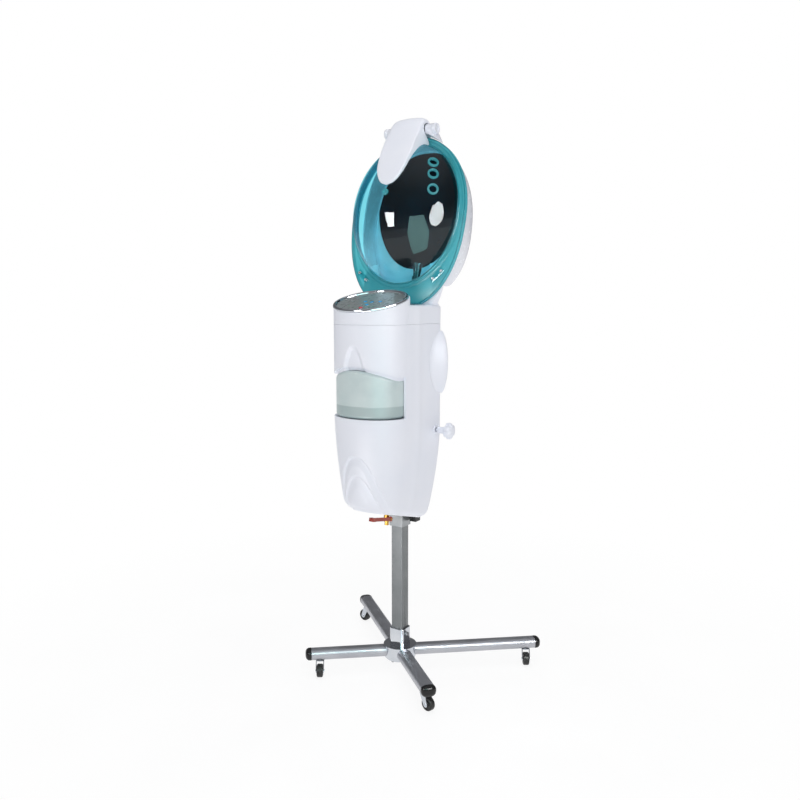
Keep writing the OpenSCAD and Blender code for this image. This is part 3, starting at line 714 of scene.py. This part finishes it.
def rear_deck(finish):
    """Boxy rear of the top moulding with a rounded top edge, rooted inside the column."""
    columns = rear_columns(1) + [back_column(0)] + rear_columns(-1)[::-1]
    root = [(-HALF_W + 12, CREASE_Y - 14), (HALF_W - 12, CREASE_Y - 14)]
    bottom, edge = SEAM_Z + 0.3, 7.0
    levels = [(0.6, bottom), (0, bottom + 0.8), (0, DECK_Z - edge)]
    levels += [(edge * (1 - math.cos(t)), DECK_Z - edge * (1 - math.sin(t)))
               for t in (math.pi / 2 * i / 7 for i in range(1, 8))]
    rows = []
    for inset, z in levels:
        rows.append([(*column(inset, z), z) for column in columns] + [(x, y, z) for x, y in root])
    obj = build("top_housing_deck", *skin(rows, True, True, True))
    post_room = box_cutter((-24, -24, bottom - 5), (48, 48, 14))
    carve(obj, post_room)
    even_shading(obj)
    settle(obj, "carriage", finish)


def side_ear(side, hand, finish):
    """Leaf-shaped wing whose tips lie at its rear edge; it swells out and drops sharply there."""
    node = "side_ear_" + hand
    start, end = low(node), high(node)
    mid_z, half_z = (start.z + end.z) / 2, (end.z - start.z) / 2
    bulge = end.x - HALF_W if side > 0 else -start.x - HALF_W
    rows = []
    across = 24
    for i in range(41):
        t = math.pi * (i / 40 - 0.5)
        width, swell = (end.y - start.y) * math.cos(t), bulge * math.cos(t) ** 1.2
        row = []
        for j in range(across + 1):
            s = j / across
            y = end.y - width * (1 - s)
            x = HALF_W + 0.2 + (swell * math.sin(math.pi * s ** 2.2) ** 0.8 if 0 < j < across else 0)
            row.append((side * x, y, mid_z + half_z * math.sin(t)))
        rows.append(row)
    obj = build(node + "_wing", *skin(rows))
    settle(obj, "carriage", finish, [node])


def panel_ring(inset, height, steps=160):
    a = HALF_W - inset
    b = (BOW + COLUMN_BACK) / 2 / math.cos(PANEL_SLOPE) - inset
    return [(x, y, height) for x, y in oval(a, b, steps=steps)]


def panel_bezel(finish):
    """Half-round chrome ring round the panel."""
    rows = []
    for i in range(13):
        t = math.pi * i / 12
        rows.append(panel_ring(5.5 - 4.9 * math.cos(t), 7.4 * math.sin(t) ** 0.75 - 0.05))
    obj = build("panel_bezel_ring", *skin(rows + rows[:1]), PANEL)
    settle(obj, "carriage", finish, ["panel_bezel"])


def water_tank(finish):
    """Frosted tank: bowed front that follows the body, arched top, rounded edges."""
    steps, round_r, back_y, power = 96, 9.0, -62.0, 2 / 2.25

    def plan(inset):
        points = []
        for i in range(steps + 1):
            t = math.pi * i / steps
            points.append(((TANK_HALF - inset) * signed_power(math.cos(t), power),
                           CREASE_Y - (BOW - 4.2 - inset) * math.sin(t) ** power))
        return points + [(x, back_y - inset * 0.3) for x in (inset - TANK_HALF, TANK_HALF - inset)]

    def from_floor(inset, rise):
        return [(x, y, SILL_Z + 1.2 + rise) for x, y in plan(inset)]

    def from_top(inset, drop):
        return [(x, y, arch_height(x) - TANK_LIP - 0.8 - drop) for x, y in plan(inset)]

    turns = [math.pi / 2 * k / 6 for k in range(7)]
    rounding = [(round_r * (1 - math.sin(t)), round_r * (1 - math.cos(t))) for t in turns]
    rows = [from_floor(inset, rise) for inset, rise in rounding + [(0, 26), (0, 29), (0.5, 30.5), (0, 32)]]
    rows += [from_top(inset, drop + 0.01) for inset, drop in reversed(rounding)]
    obj = build("water_tank_body", *skin(rows, True, True, True))
    even_shading(obj)
    settle(obj, "tank", finish, ["water_tank"])


def height_knob(finish):
    """Six-lobed clamp knob with a rounded face, on its screw."""
    start, tip, face_h = low("height_knob"), high("height_knob").x, 21
    centre = (start.y + high("height_knob").y) / 2, (start.z + high("height_knob").z) / 2
    profile = [(0, -26), (7.5, -26), (8.5, -24.5), (9.2, -10), (12, -1.5), (17, -0.4), (20.8, 0.9), (22, 3.4),
               (22.4, 8), (22, 12.4), (20.6, 15), (17.5, 17), (14.5, 18.2), (11, 20.4), (6, face_h), (0, face_h)]
    rows = []
    for r, h in profile:
        lobed = smooth_step(r, 11, 20)
        row = []
        for t in (2 * math.pi * i / 144 for i in range(144)):
            dip = 4.6 * lobed * (0.5 - 0.5 * math.cos(6 * t)) ** 1.5
            y, z = centre[0] + (r - dip) * math.sin(t), centre[1] + (r - dip) * math.cos(t)
            row.append((tip - face_h + h, y, z))
        rows.append(row)
    obj = build("height_knob_star", *skin(rows))
    stem = build("knob_stem", *skin(lathe([(0, 0), (4, 0), (4, tip - 64), (0, tip - 64)], 32)),
                 facing((start.x, *centre), (1, 0, 0)))
    carve(obj, stem, operation="UNION")
    settle(obj, "knob", finish, ["height_knob"])


def knob_collar(finish):
    """Small escutcheon where the knob's screw enters the housing."""
    knob = (low("height_knob") + high("height_knob")) / 2
    profile = [(6.2, 0), (12, 0), (12, 1.2), (11, 2.4), (8.5, 3), (6.2, 3), (6.2, 0)]
    at = (HALF_W + 0.1, knob.y, knob.z)
    obj = build("knob_collar", *skin(lathe(profile, 48)), facing(at, (1, 0, 0)))
    settle(obj, "carriage", finish)


# ---------- the hood ----------


def dome_ring(grow, y, steps=200):
    """Ring about the dome's foot, grown outwards, at depth y."""
    turns = [2 * math.pi * i / steps for i in range(steps)]
    return [((DOME_A + grow) * math.cos(t), y, (DOME_C + grow) * math.sin(t)) for t in turns]


def flange_ring(grow, y, steps=200):
    """Ring along the flange's outer edge, grown outwards, at depth y."""
    outline = [flange_outline(i, steps, grow) for i in range(steps)]
    return [(x, y, z) for x, z in outline]


def flange_outline(i, steps, grow=0.0):
    """Point i of the flange with its skirt: half an ellipse over a fuller, cut-off lower half."""
    t = 2 * math.pi * i / steps
    if math.sin(t) >= 0:
        return (FLANGE_A + grow) * math.cos(t), (FLANGE_C + grow) * math.sin(t)
    n = 2 / 2.3
    x = (FLANGE_A + grow) * signed_power(math.cos(t), n)
    drop = (SKIRT + 14 + grow) * (-math.sin(t)) ** n
    return x, -min(drop, SKIRT + grow)


def dome_y(x, z, grow=0.0):
    """Depth of the dome's outer face at a front-view point; the flange's plane outside it."""
    inside = 1 - (x / (DOME_A + grow)) ** 2 - (z / (DOME_C + grow)) ** 2
    return -(DOME_D + grow) * math.sqrt(inside) if inside > 0 else -grow


def on_dome(x, z):
    """Placement on the dome's outer face, with +Z straight out of it."""
    y = dome_y(x, z)
    return HOOD @ facing((x, y, z), Vector((x / DOME_A ** 2, y / DOME_D ** 2, z / DOME_C ** 2)).normalized())


def hood_dome(clear):
    """The bare dome down to its foot."""
    steps = 160
    rows = [[(0, -DOME_D, 0)] * steps]
    for t in (math.pi / 2 * (1 - k / 26) for k in range(1, 27)):
        foot = oval(DOME_A, DOME_C, steps=steps)
        rows.append([(x * math.cos(t), -DOME_D * math.sin(t), z * math.cos(t)) for x, z in foot])
    obj = build("hood_dome_bubble", *skin(rows), HOOD)
    thicken(obj, 2.6)
    bake_modifiers(obj)
    for x, z in VENTS:
        carve(obj, build("cutter", *skin(lathe([(0, -12), (9.6, -12), (9.6, 12), (0, 12)], 48)), on_dome(x, z)))
    settle(obj, "carriage", clear, ["hood_dome"])


def hood_flange(band):
    """Grooved flange round the dome, running out into the skirt and turned back at its edge."""
    grooves = ((-1.4, 1.5), (0.4, -2.2), (1.8, -2.6), (3.2, -1.6), (4.2, 0.6), (6, 0.9), (7.6, 0.2), (13.5, -0.4),
               (15.2, 0.8), (17, 1.2), (18.4, 0.1))
    rim = ((-1.2, 0.0), (-0.3, 0.5), (0, 1.6), (0, 8), (0, 13.6), (-2.6, 13.6), (-2.6, 3.4))
    rows = [dome_ring(grow, y) for grow, y in grooves] + [flange_ring(grow, y) for grow, y in rim]
    rows += [dome_ring(grow, y) for grow, y in ((18, 3.2), (1, 3.0))]
    obj = build("hood_flange_skirt", *skin(rows + rows[:1]), HOOD)
    even_shading(obj)
    settle(obj, "carriage", band)


def flange_ribs(edge):
    """Round ribs along the dome's foot, the middle and the outer edge of the flange."""
    ribs = ((dome_ring, 2.4, -2.2, 1.1), (dome_ring, 12.0, 0.1, 0.6), (flange_ring, -1.4, 0.8, 1.2))
    turns = [2 * math.pi * k / 8 for k in range(8)]
    for number, (ring, grow, depth, radius) in enumerate(ribs):
        rows = [ring(grow + radius * math.cos(t), depth + radius * math.sin(t)) for t in turns]
        obj = build(f"flange_rib_{number}", *skin(rows + rows[:1]), HOOD)
        settle(obj, "carriage", edge)


def vent_rims(band):
    """Three short raised collars round the vents."""
    profile = [(9.4, -4), (14.8, -4), (15.2, -0.6), (14.6, 1.4), (13.6, 2.8), (12.4, 3.4), (11.0, 3.0),
               (10.2, 1.6), (9.6, -0.5), (9.4, -4)]
    for number, (x, z) in enumerate(VENTS):
        obj = build(f"vent_rim_{number}", *skin(lathe(profile, 56)), on_dome(x, z))
        settle(obj, "carriage", band)


def dome_boss(band):
    """Small screw boss below the hinge leaf."""
    profile = [(0, 2.4), (2.2, 2.4), (2.8, 1.4), (5.2, 1.4), (6.2, 2.6), (7.6, 2.8), (8.6, 2.0), (9.0, -0.8),
               (0, -0.8)]
    obj = build("dome_boss", *skin(lathe(profile, 48)), on_dome(0.0, 25.0))
    settle(obj, "carriage", band)


def leaf_stations():
    """Face line of the hinge leaf: (depth of the face, height, half width, angle about the hinge)."""
    points = []
    leave = 159.0
    for i in range(11):
        angle = math.radians(-20 + (leave + 20) * i / 10)
        points.append((HINGE_Y + HUMP_R * math.cos(angle), HINGE_Z + HUMP_R * math.sin(angle), 49.5, angle))
    top_y, top_z = points[-1][:2]
    land_z, tip_z = 128.0, 44.0
    land_y = dome_y(0, land_z) - 9.5
    for i in range(1, 37):
        s = i / 36
        z = top_z - (top_z - tip_z) * s
        if z > land_z:
            y = top_y + (land_y - top_y) * (top_z - z) / (top_z - land_z)
        else:
            y = dome_y(0, z) - 4.5 - 5.0 * (z - tip_z) / (land_z - tip_z)
        near_tip = min(1.0, (z - tip_z) / 60)
        half = 49.5 - 9 * smooth_step(HINGE_Z - z, 60, 160)
        half *= math.sqrt(max(0.0, 1 - (1 - near_tip) ** 2.0))
        points.append((y, z, half, None))
    return points


def hinge_bracket(finish):
    """Crowned leaf that wraps the hinge and tapers down the dome to a round tip."""
    across = 20
    rows = []
    for y, z, half, angle in leaf_stations():
        face, under = [], []
        crown = 2.5 + 9.0 * smooth_step(z, 170, HINGE_Z + HUMP_R)
        for j in range(across + 1):
            u = 2 * j / across - 1
            x = half * signed_power(math.sin(u * math.pi / 2), 0.9)
            rounded = max(0.0, abs(x / max(half, 1)) - 0.93) / 0.07
            sag = crown * u * u + 1.6 * rounded ** 1.5
            if angle is not None:
                outward = Vector((0, math.cos(angle), math.sin(angle)))
                centre = Vector((x, HINGE_Y, HINGE_Z))
                face.append(tuple(centre + outward * (HUMP_R - sag)))
                under.append(tuple(centre + outward * 17))
            else:
                lowest = dome_y(x, z, 0.5)
                to_hinge = smooth_step(z, DOME_C - 10, HINGE_Z)
                lowest = lowest * (1 - to_hinge) + (HINGE_Y - 17) * to_hinge
                face.append((x, min(y + sag, lowest - 0.4), z))
                under.append((x, lowest, z))
        rows.append(face + under[::-1])
    obj = build("hinge_leaf", *skin(rows, True, True, False), HOOD)
    soften(obj, 1.6, 3, 40)
    settle(obj, "carriage", finish, ["hinge_bracket"])


def pivot_caps(finish):
    """Round caps over the hinge pin's ends, dished in the middle."""
    profile = [(0, 0), (13.6, 0), (14.4, 0.9), (14.4, 9.5), (13.4, 11.4), (11.8, 12), (10.4, 11.6),
               (9.8, 10.6), (3, 10.2), (0, 10.2)]
    for side, hand in SIDES:
        at = HOOD @ Vector((side * EAR_OUTER, HINGE_Y, HINGE_Z))
        obj = build(f"pivot_cap_{hand}", *skin(lathe(profile, 64)), facing(at, (side, 0, 0)))
        settle(obj, "hood_cover", finish, ["pivot_caps"])


def shell_scale(y):
    """Size of the rear shell's ring at depth y, 1 at its rim and 0 at its back."""
    return 1.0 if y < 40 else max(0.0, 1 - ((y - 40) / 152) ** 2.6) ** (1 / 2.6)


def shell_sink(y):
    """Drop of the rear shell's rings towards its back."""
    return -30 * (max(0.0, y - 16) / 170) ** 1.5


def shell_ring(y, inset, steps=144):
    """Ring of the rear shell at depth y."""
    a = max(0.5, SHELL_A * shell_scale(y) - inset)
    c = max(0.5, SHELL_C * shell_scale(y) - inset)
    return [(x, y, z + shell_sink(y)) for x, z in oval(a, c, 2.3, steps)]


def hood_shell(finish):
    """White rear shell with the hinge ears, open at the bottom of its back for the face."""
    depths = [RIM_Y + (40 - RIM_Y) * i / 5 for i in range(6)]
    depths += [40 + 151.6 * math.sin(math.pi / 2 * i / 30) for i in range(1, 31)]
    rows = [shell_ring(y, 0) for y in depths]
    obj = build("hood_shell_back", *skin(rows, True, False, True), HOOD)
    thicken(obj, 4.0)
    bake_modifiers(obj)
    for side in (-1, 1):
        carve(obj, shoulder(side), operation="UNION")
    opening = face_opening()
    skirt_room = box_cutter((-200, 0, -300), (400, 28, 166), HOOD)
    carve(obj, shell_room(), opening, skirt_room, flange_room())
    soften(obj, 1.2, 2, 40)
    settle(obj, "hood_cover", finish, ["hood_shell"])


def shell_room():
    """Cutter that keeps the ears out of the inside of the shell."""
    rows = [shell_ring(y, 4.6, 96) for y in (2, 30, 60, 90, 120, 150, 170, 180)]
    return build("cutter", *skin(rows, True, True, True), HOOD)


def flange_room():
    """Cutter that keeps the shell and its ears clear of the flange."""
    outline = [flange_outline(i, 96, 2.4) for i in range(96)]
    rows = [[(x, y, z) for x, z in outline] for y in (-80, RIM_Y - 1.2)]
    return build("cutter", *skin(rows, True, True, True), HOOD)


def shoulder(side):
    """Closed ear: a knuckle round the pin that widens back and down into the shell."""
    points = []
    for inner, outer, y, z, radius_y, radius_z in ((51, EAR_OUTER, HINGE_Y, HINGE_Z, 14, 14),
                                                   (57, 100, 34, HINGE_Z - 98, 14, 27)):
        for i in range(40):
            t = 2 * math.pi * i / 40
            for x in (inner, outer):
                points.append(Vector((side * x, y + radius_y * math.cos(t), z + radius_z * math.sin(t))))
    return hull_object("shoulder", points)


def hull_object(name, points):
    """Convex hull of points given in the hood's frame."""
    wrapped = bmesh.new()
    for point in points:
        wrapped.verts.new((HOOD @ point) * MM)
    result = bmesh.ops.convex_hull(wrapped, input=wrapped.verts)
    loose = [v for v in result["geom_interior"] if isinstance(v, bmesh.types.BMVert)]
    bmesh.ops.delete(wrapped, geom=loose, context="VERTS")
    mesh = bpy.data.meshes.new(name)
    wrapped.to_mesh(mesh)
    wrapped.free()
    return link(bpy.data.objects.new(name, mesh))


def face_opening(start=62):
    """Arched cutter low in the back of the shell, from depth start backwards."""
    outline = [(92 * math.cos(math.pi * i / 32), -200 + 92 * math.sin(math.pi * i / 32)) for i in range(33)]
    outline += [(-92, -330), (92, -330)]
    rows = [[(x, y, z) for x, z in outline] for y in (start, 262)]
    return build("cutter", *skin(rows, True, True, True), HOOD)


def liner_ring(y, inset, steps=72):
    """Ring that follows the shell's wall and curves in below."""
    scale = max(0.02, shell_scale(min(y + inset, 191.5)))
    inset = min(inset, 0.4 * SHELL_A * scale)
    half, top, low_edge = SHELL_A * scale - inset, SHELL_C * scale - inset, (LINER_MID - LINER_DROP) * scale
    right = []
    for j in range(steps + 1):
        z = (top + low_edge) / 2 + (top - low_edge) / 2 * math.cos(math.pi * j / steps)
        wide = half * max(0.0, 1 - abs(z / top) ** 2.3) ** (1 / 2.3)
        below = max(0.0, LINER_MID * scale - z) / (LINER_DROP * scale)
        wide = min(wide, half * math.sqrt(max(0.0, 1 - below * below)))
        right.append((wide, y, z + shell_sink(y)))
    return right + [(-x, y, z) for x, y, z in right[-2:0:-1]]


def hood_liner(finish):
    """Dark liner of the shell: inner face, then outer face back to the rim."""
    def face(inset, back):
        turns = [math.pi / 2 * k / 22 for k in range(23)]
        rings = [liner_ring(LINER_Y + (back - LINER_Y) * math.sin(t), inset) for t in turns]
        for share in (0.6, 0.3, 0.02):
            rings.append([(x * share, y, shell_sink(y) + (z - shell_sink(y)) * share) for x, y, z in rings[22]])
        return rings

    rows = face(7.2, 183.0) + face(5.0, 185.4)[::-1]
    obj = build("hood_liner_bowl", *skin(rows + rows[:1]), HOOD)
    carve(obj, face_opening(104))
    settle(obj, "hood_cover", finish, ["hood_liner"])


def liner_surround(finish):
    """White ledge between the liner's lower edge and the shell's wall."""
    front, back = LINER_Y - 2.2, LINER_Y - 0.2
    count = len(liner_ring(front, 6.4))

    def wall(y):
        """Shell ring that starts at the top and runs the same way as the liner's."""
        ring = shell_ring(y, 4.3, count)
        start = count // 4
        return [ring[(start - i) % count] for i in range(count)]

    rows = [wall(front), liner_ring(front, 6.4), liner_ring(back, 6.4), wall(back)]
    obj = build("liner_surround", *skin(rows + rows[:1]), HOOD)
    settle(obj, "hood_cover", finish)


def hood_neck(finish):
    """Neck that rises from the deck and spreads into two arms behind the skirt."""
    steps = 72

    def deck_ring(z, a, b, n):
        return [(x, 48 - b + y, z) for x, y in oval(a, b, n, steps)]

    def arm_ring(z, a, b, n):
        return [tuple(HOOD @ Vector((x, ARM_Y + b + y, z))) for x, y in oval(a, b, n, steps)]

    rows = [deck_ring(DECK_Z, 102, 25.5, 7), deck_ring(DECK_Z + 1.5, 100, 24, 7)]
    rows += [arm_ring(z, a, b, 5) for z, a, b in ((-238, 104, 20), (-226, 114, 15), (-205, 128, 6.0),
                                                 (-185, 129.5, 5.7), (-165, 127, 5.7), (-150, 120, 5.5),
                                                 (-141, 111, 5), (-136, 98, 4))]
    obj = build("hood_neck_arms", *skin(rows, True, True, True))
    notch = box_cutter((-84, -60, NECK_TOP), (168, 200, 200), HOOD)
    carve(obj, notch)
    soften(obj, 2.5, 3, 40)
    settle(obj, "carriage", finish, ["hood_neck"])


# ---------- the stand ----------


def leg_outline(scale=1.0, steps=48):
    """D-shaped leg section that narrows towards its underside, in its own plane."""
    width, height = 40 * scale, 30 * scale
    return [(u * (1 + 0.12 * min(0.0, v / height)), v) for u, v in oval(width / 2, height / 2, 2.8, steps)]


def leg_end_caps(finish):
    """Rounded black plugs on the four leg tubes."""
    mid_z = (low("rear_leg_left").z + high("rear_leg_left").z) / 2
    profile = [(0.2, 1.0), (0.6, 1.03), (4.5, 1.03), (8.5, 1.0), (12, 0.9), (14.6, 0.74), (16.4, 0.5), (17, 0.2)]
    for end, forward, reach in LEG_ENDS:
        for side, hand in SIDES:
            along = Vector((side * math.sin(LEG_ANGLE), forward * math.cos(LEG_ANGLE), 0))
            across = Vector((-along.y, along.x, 0))
            rows = []
            for depth, scale in profile:
                base = along * (reach + depth) + Vector((0, 0, mid_z + (1 - scale) * 2))
                rows.append([tuple(base + across * u + Vector((0, 0, v))) for u, v in leg_outline(scale)])
            obj = build(f"leg_end_cap_{end}_{hand}", *skin(rows, True, True, True))
            even_shading(obj)
            settle(obj, "stand", finish, ["leg_end_caps"])


def dress(finish, edge, *nodes, segments=2):
    """Keeps CAD nodes and gives them rounded edges and a finish."""
    for node in nodes:
        obj = frame["nodes"][node]
        for index in range(len(obj.data.materials)):
            obj.data.materials[index] = finish
        if not obj.data.materials:
            obj.data.materials.append(finish)
        for face in obj.data.polygons:
            face.use_smooth = True
        modifier(obj, "WELD", merge_threshold=0.002 * MM)
        modifier(obj, "BEVEL", width=edge * MM, segments=segments, limit_method="ANGLE",
                 angle_limit=math.radians(30), use_clamp_overlap=True)
        even_shading(obj)


def dress_frame(white, black, steel):
    """Finishes for every CAD node that stays."""
    bright = chrome()
    corners = [f"{end}_{side}" for end in ("front", "rear") for side in ("left", "right")]
    dress(bright, 0.8, "hub_body", "hub_bottom_plate")
    dress(bright, 1.6, "post_socket", segments=3)
    dress(leg_chrome(), 0.6, "front_leg_left", "front_leg_right", "rear_leg_left", "rear_leg_right")
    dress(bright, 0.5, *[f"caster_fork_{corner}" for corner in corners])
    dress(caster_rubber(), 0.6, *[f"caster_wheel_{corner}" for corner in corners])
    dress(steel, 0.5, "hub_screws", "socket_bolt", "slide_sleeve", "boiler", "dome_screws",
          "hinge_pin")
    dress(post_steel(), 2.5, "post", segments=3)
    dress(black, 0.8, "post_cap", "power_inlet", "steam_nozzle")
    dress(black, 0.1, "sleeve_bushes")
    dress(white, 0.8, "base_plate")
    dress(panel_film(), 0.6, "control_panel")
    # The keys' faint glow is painted light; only the indicator LEDs are lamps.
    dress(glowing_plastic("key_blue", (42, 158, 212), (26, 132, 190), 0.25), 1.2, "time_up_button", "time_down_button",
          "heat_button", "mist_button", segments=3)
    dress(glowing_plastic("key_red", (212, 50, 72), (190, 38, 60), 0.25), 1.2, "power_button", segments=3)
    dress(glowing_plastic("led_green", (70, 168, 120), (52, 140, 98), 0.3), 0.4, "indicator_leds")
    dress(board_green(), 0.3, "circuit_board")
    dress(tray_grey(), 1.0, "tank_tray")
    dress(element_steel(), 0.4, "heating_element")
    dress(transformer_iron(), 0.8, "transformer")
    dress(brass(), 0.7, "drain_spout")
    dress(lever_red(), 1.2, "drain_lever", segments=3)
    dress(tinted("plate_teal", (0.62, 0.88, 0.9), (1, 1, 1, 1)), 1.0, "dome_fixing_plates")
    dress(hose_silicone(), 0.5, "steam_hose")


# ---------- studio ----------


def floor():
    obj = build("floor", *skin([[(x, y, 0) for x in (-9000, 9000)] for y in (-9000, 9000)], False))
    obj.data.materials.append(floor_finish())


def softbox(name, at, towards, width, height, power):
    """Area light aimed at a point; sizes in metres."""
    data = bpy.data.lights.new(name, "AREA")
    data.shape, data.size, data.size_y, data.energy = "RECTANGLE", width, height, power
    obj = link(bpy.data.objects.new(name, data))
    obj.matrix_world = facing(Vector(at), Vector(at) - Vector(towards))
    obj.visible_camera = obj.visible_glossy = False


def studio_lights():
    softbox("front_softbox", (-1.1, -2.4, 1.8), (0, -0.1, 1.2), 1.2, 1.4, FRONT_POWER)
    softbox("right_softbox", (1.5, -1.8, 2.2), (0, -0.1, 1.2), 1.1, 1.1, RIGHT_POWER)
    softbox("top_softbox", (0.4, -0.3, 3.4), (0, 0, 1.1), 2.6, 2.6, TOP_POWER)
    softbox("rear_softbox", (-1.6, 2.4, 2.2), (0, 0, 1.1), 2.0, 2.0, REAR_POWER)


def glint_card(name, corners, distance, colour, strength):
    """Glowing outline seen only in reflections; corners are degrees round and up, about the dome."""
    points = []
    for azimuth, elevation in corners:
        a, e = math.radians(azimuth), math.radians(elevation)
        away = Vector((math.sin(a) * math.cos(e), -math.cos(a) * math.cos(e), math.sin(e)))
        points.append(tuple(DOME_AT + away * distance * 1000))
    obj = build(name, points, [tuple(range(len(points)))])
    s = Shader(name)
    patchy = s.spread(s.noise(2), 0.9 * strength, 1.1 * strength)
    glow = s.add("ShaderNodeEmission", {"Color": (*colour, 1), "Strength": patchy})
    obj.data.materials.append(s.finish(glow.outputs[0]))
    obj.visible_camera = obj.visible_diffuse = obj.visible_shadow = obj.visible_transmission = False


def studio_glints():
    """The lamps and screens that the dome and the chrome mirror."""
    glint_card("window_glint", ((-34, 17), (-19, 18), (-16, 4), (-26, 4)), 2.3, (1, 1, 1), 24)
    turns = [math.pi / 4 * i for i in range(8)]
    octagon = [(OCTABOX_AT[0] + OCTABOX_HALF[0] * math.cos(t), OCTABOX_AT[1] + OCTABOX_HALF[1] * math.sin(t))
               for t in turns]
    glint_card("octagon_glint", octagon, 2.3, (1, 1, 1), 16)
    glint_card("screen_glint", ((8, 13), (35, 13), (52, -10), (60, -36), (23, -40), (7, -6)), 1.3,
               (0.6, 1.0, 0.95), 3.4)
    glint_card("floor_glint", ((-21, -46), (4, -47), (8, -62), (-24, -57)), 1.2, (1, 1, 1), 12)


def white_surroundings():
    """White to the camera and as fill; darker, banded and studio-like in reflections."""
    world = bpy.data.worlds.new("surroundings")
    bpy.context.scene.world = world
    world.use_nodes = True
    tree = world.node_tree
    tree.nodes.clear()
    join = tree.links.new

    def add(kind):
        return tree.nodes.new("ShaderNode" + kind)

    def choose(share, first, second):
        """The second where share is 1, the first elsewhere."""
        mix = add("MixShader")
        for source, socket in zip((share, first.outputs[0], second.outputs[0]), mix.inputs):
            join(source, socket)
        return mix

    coords, split, ramp, kind = add("TexCoord"), add("SeparateXYZ"), add("ValToRGB"), add("LightPath")
    mirror, plain, fill, out = add("Background"), add("Background"), add("Background"), add("OutputWorld")
    join(coords.outputs["Generated"], split.inputs[0])
    join(split.outputs["Z"], ramp.inputs[0])
    stops = ((0.0, 0.6), (0.04, 0.3), (0.3, 0.12), (0.62, 0.2), (1.0, 0.6))
    while len(ramp.color_ramp.elements) < len(stops):
        ramp.color_ramp.elements.new(0.5)
    for element, (position, value) in zip(ramp.color_ramp.elements, stops):
        element.position = position
        element.color = (value, value, value * 1.03, 1)
    join(ramp.outputs[0], mirror.inputs[0])
    plain.inputs[0].default_value = (1, 1, 1, 1)
    fill.inputs[0].default_value = (0.97, 0.98, 1.0, 1)
    fill.inputs[1].default_value = FILL
    bounced = choose(kind.outputs["Is Glossy Ray"], fill, mirror)
    join(choose(kind.outputs["Is Camera Ray"], bounced, plain).outputs[0], out.inputs[0])


def studio_camera():
    """Eye 2.2 m out, 33.1 degrees to the object's right, pitched 7.22 degrees down."""
    turn, pitch, away, height = math.radians(33.1), math.radians(7.22), 2.2, 1.066
    data = bpy.data.cameras.new("camera")
    data.lens = data.sensor_width = 36
    obj = link(bpy.data.objects.new("camera", data))
    obj.location = (away * math.sin(turn), -away * math.cos(turn), height)
    obj.rotation_euler = (math.pi / 2 - pitch, 0, turn)
    bpy.context.scene.camera = obj
    bpy.context.scene.view_settings.view_transform = "Standard"


# ---------- the object ----------

white, sheer, black = white_plastic(), sheer_white(), black_plastic()
clear, band, steel = teal_clear(), teal_band(), zinc()

dress_frame(white, black, steel)
housing_screws(steel)
leg_end_caps(black)
front_housing(white)
rear_cover(white)
panel_column(white)
rear_deck(white)
panel_bezel(chrome())
water_tank(frosted_tank())
for side, hand in SIDES:
    side_ear(side, hand, white)
height_knob(white)
knob_collar(white)
hood_neck(white)
hood_dome(clear)
hood_flange(band)
flange_ribs(teal_edge_painted_dark())
vent_rims(band)
dome_boss(band)
hinge_bracket(white)
pivot_caps(sheer)
hood_shell(sheer)
liner_surround(white)
hood_liner(liner_dark())

floor()
studio_lights()
studio_glints()
white_surroundings()
studio_camera()
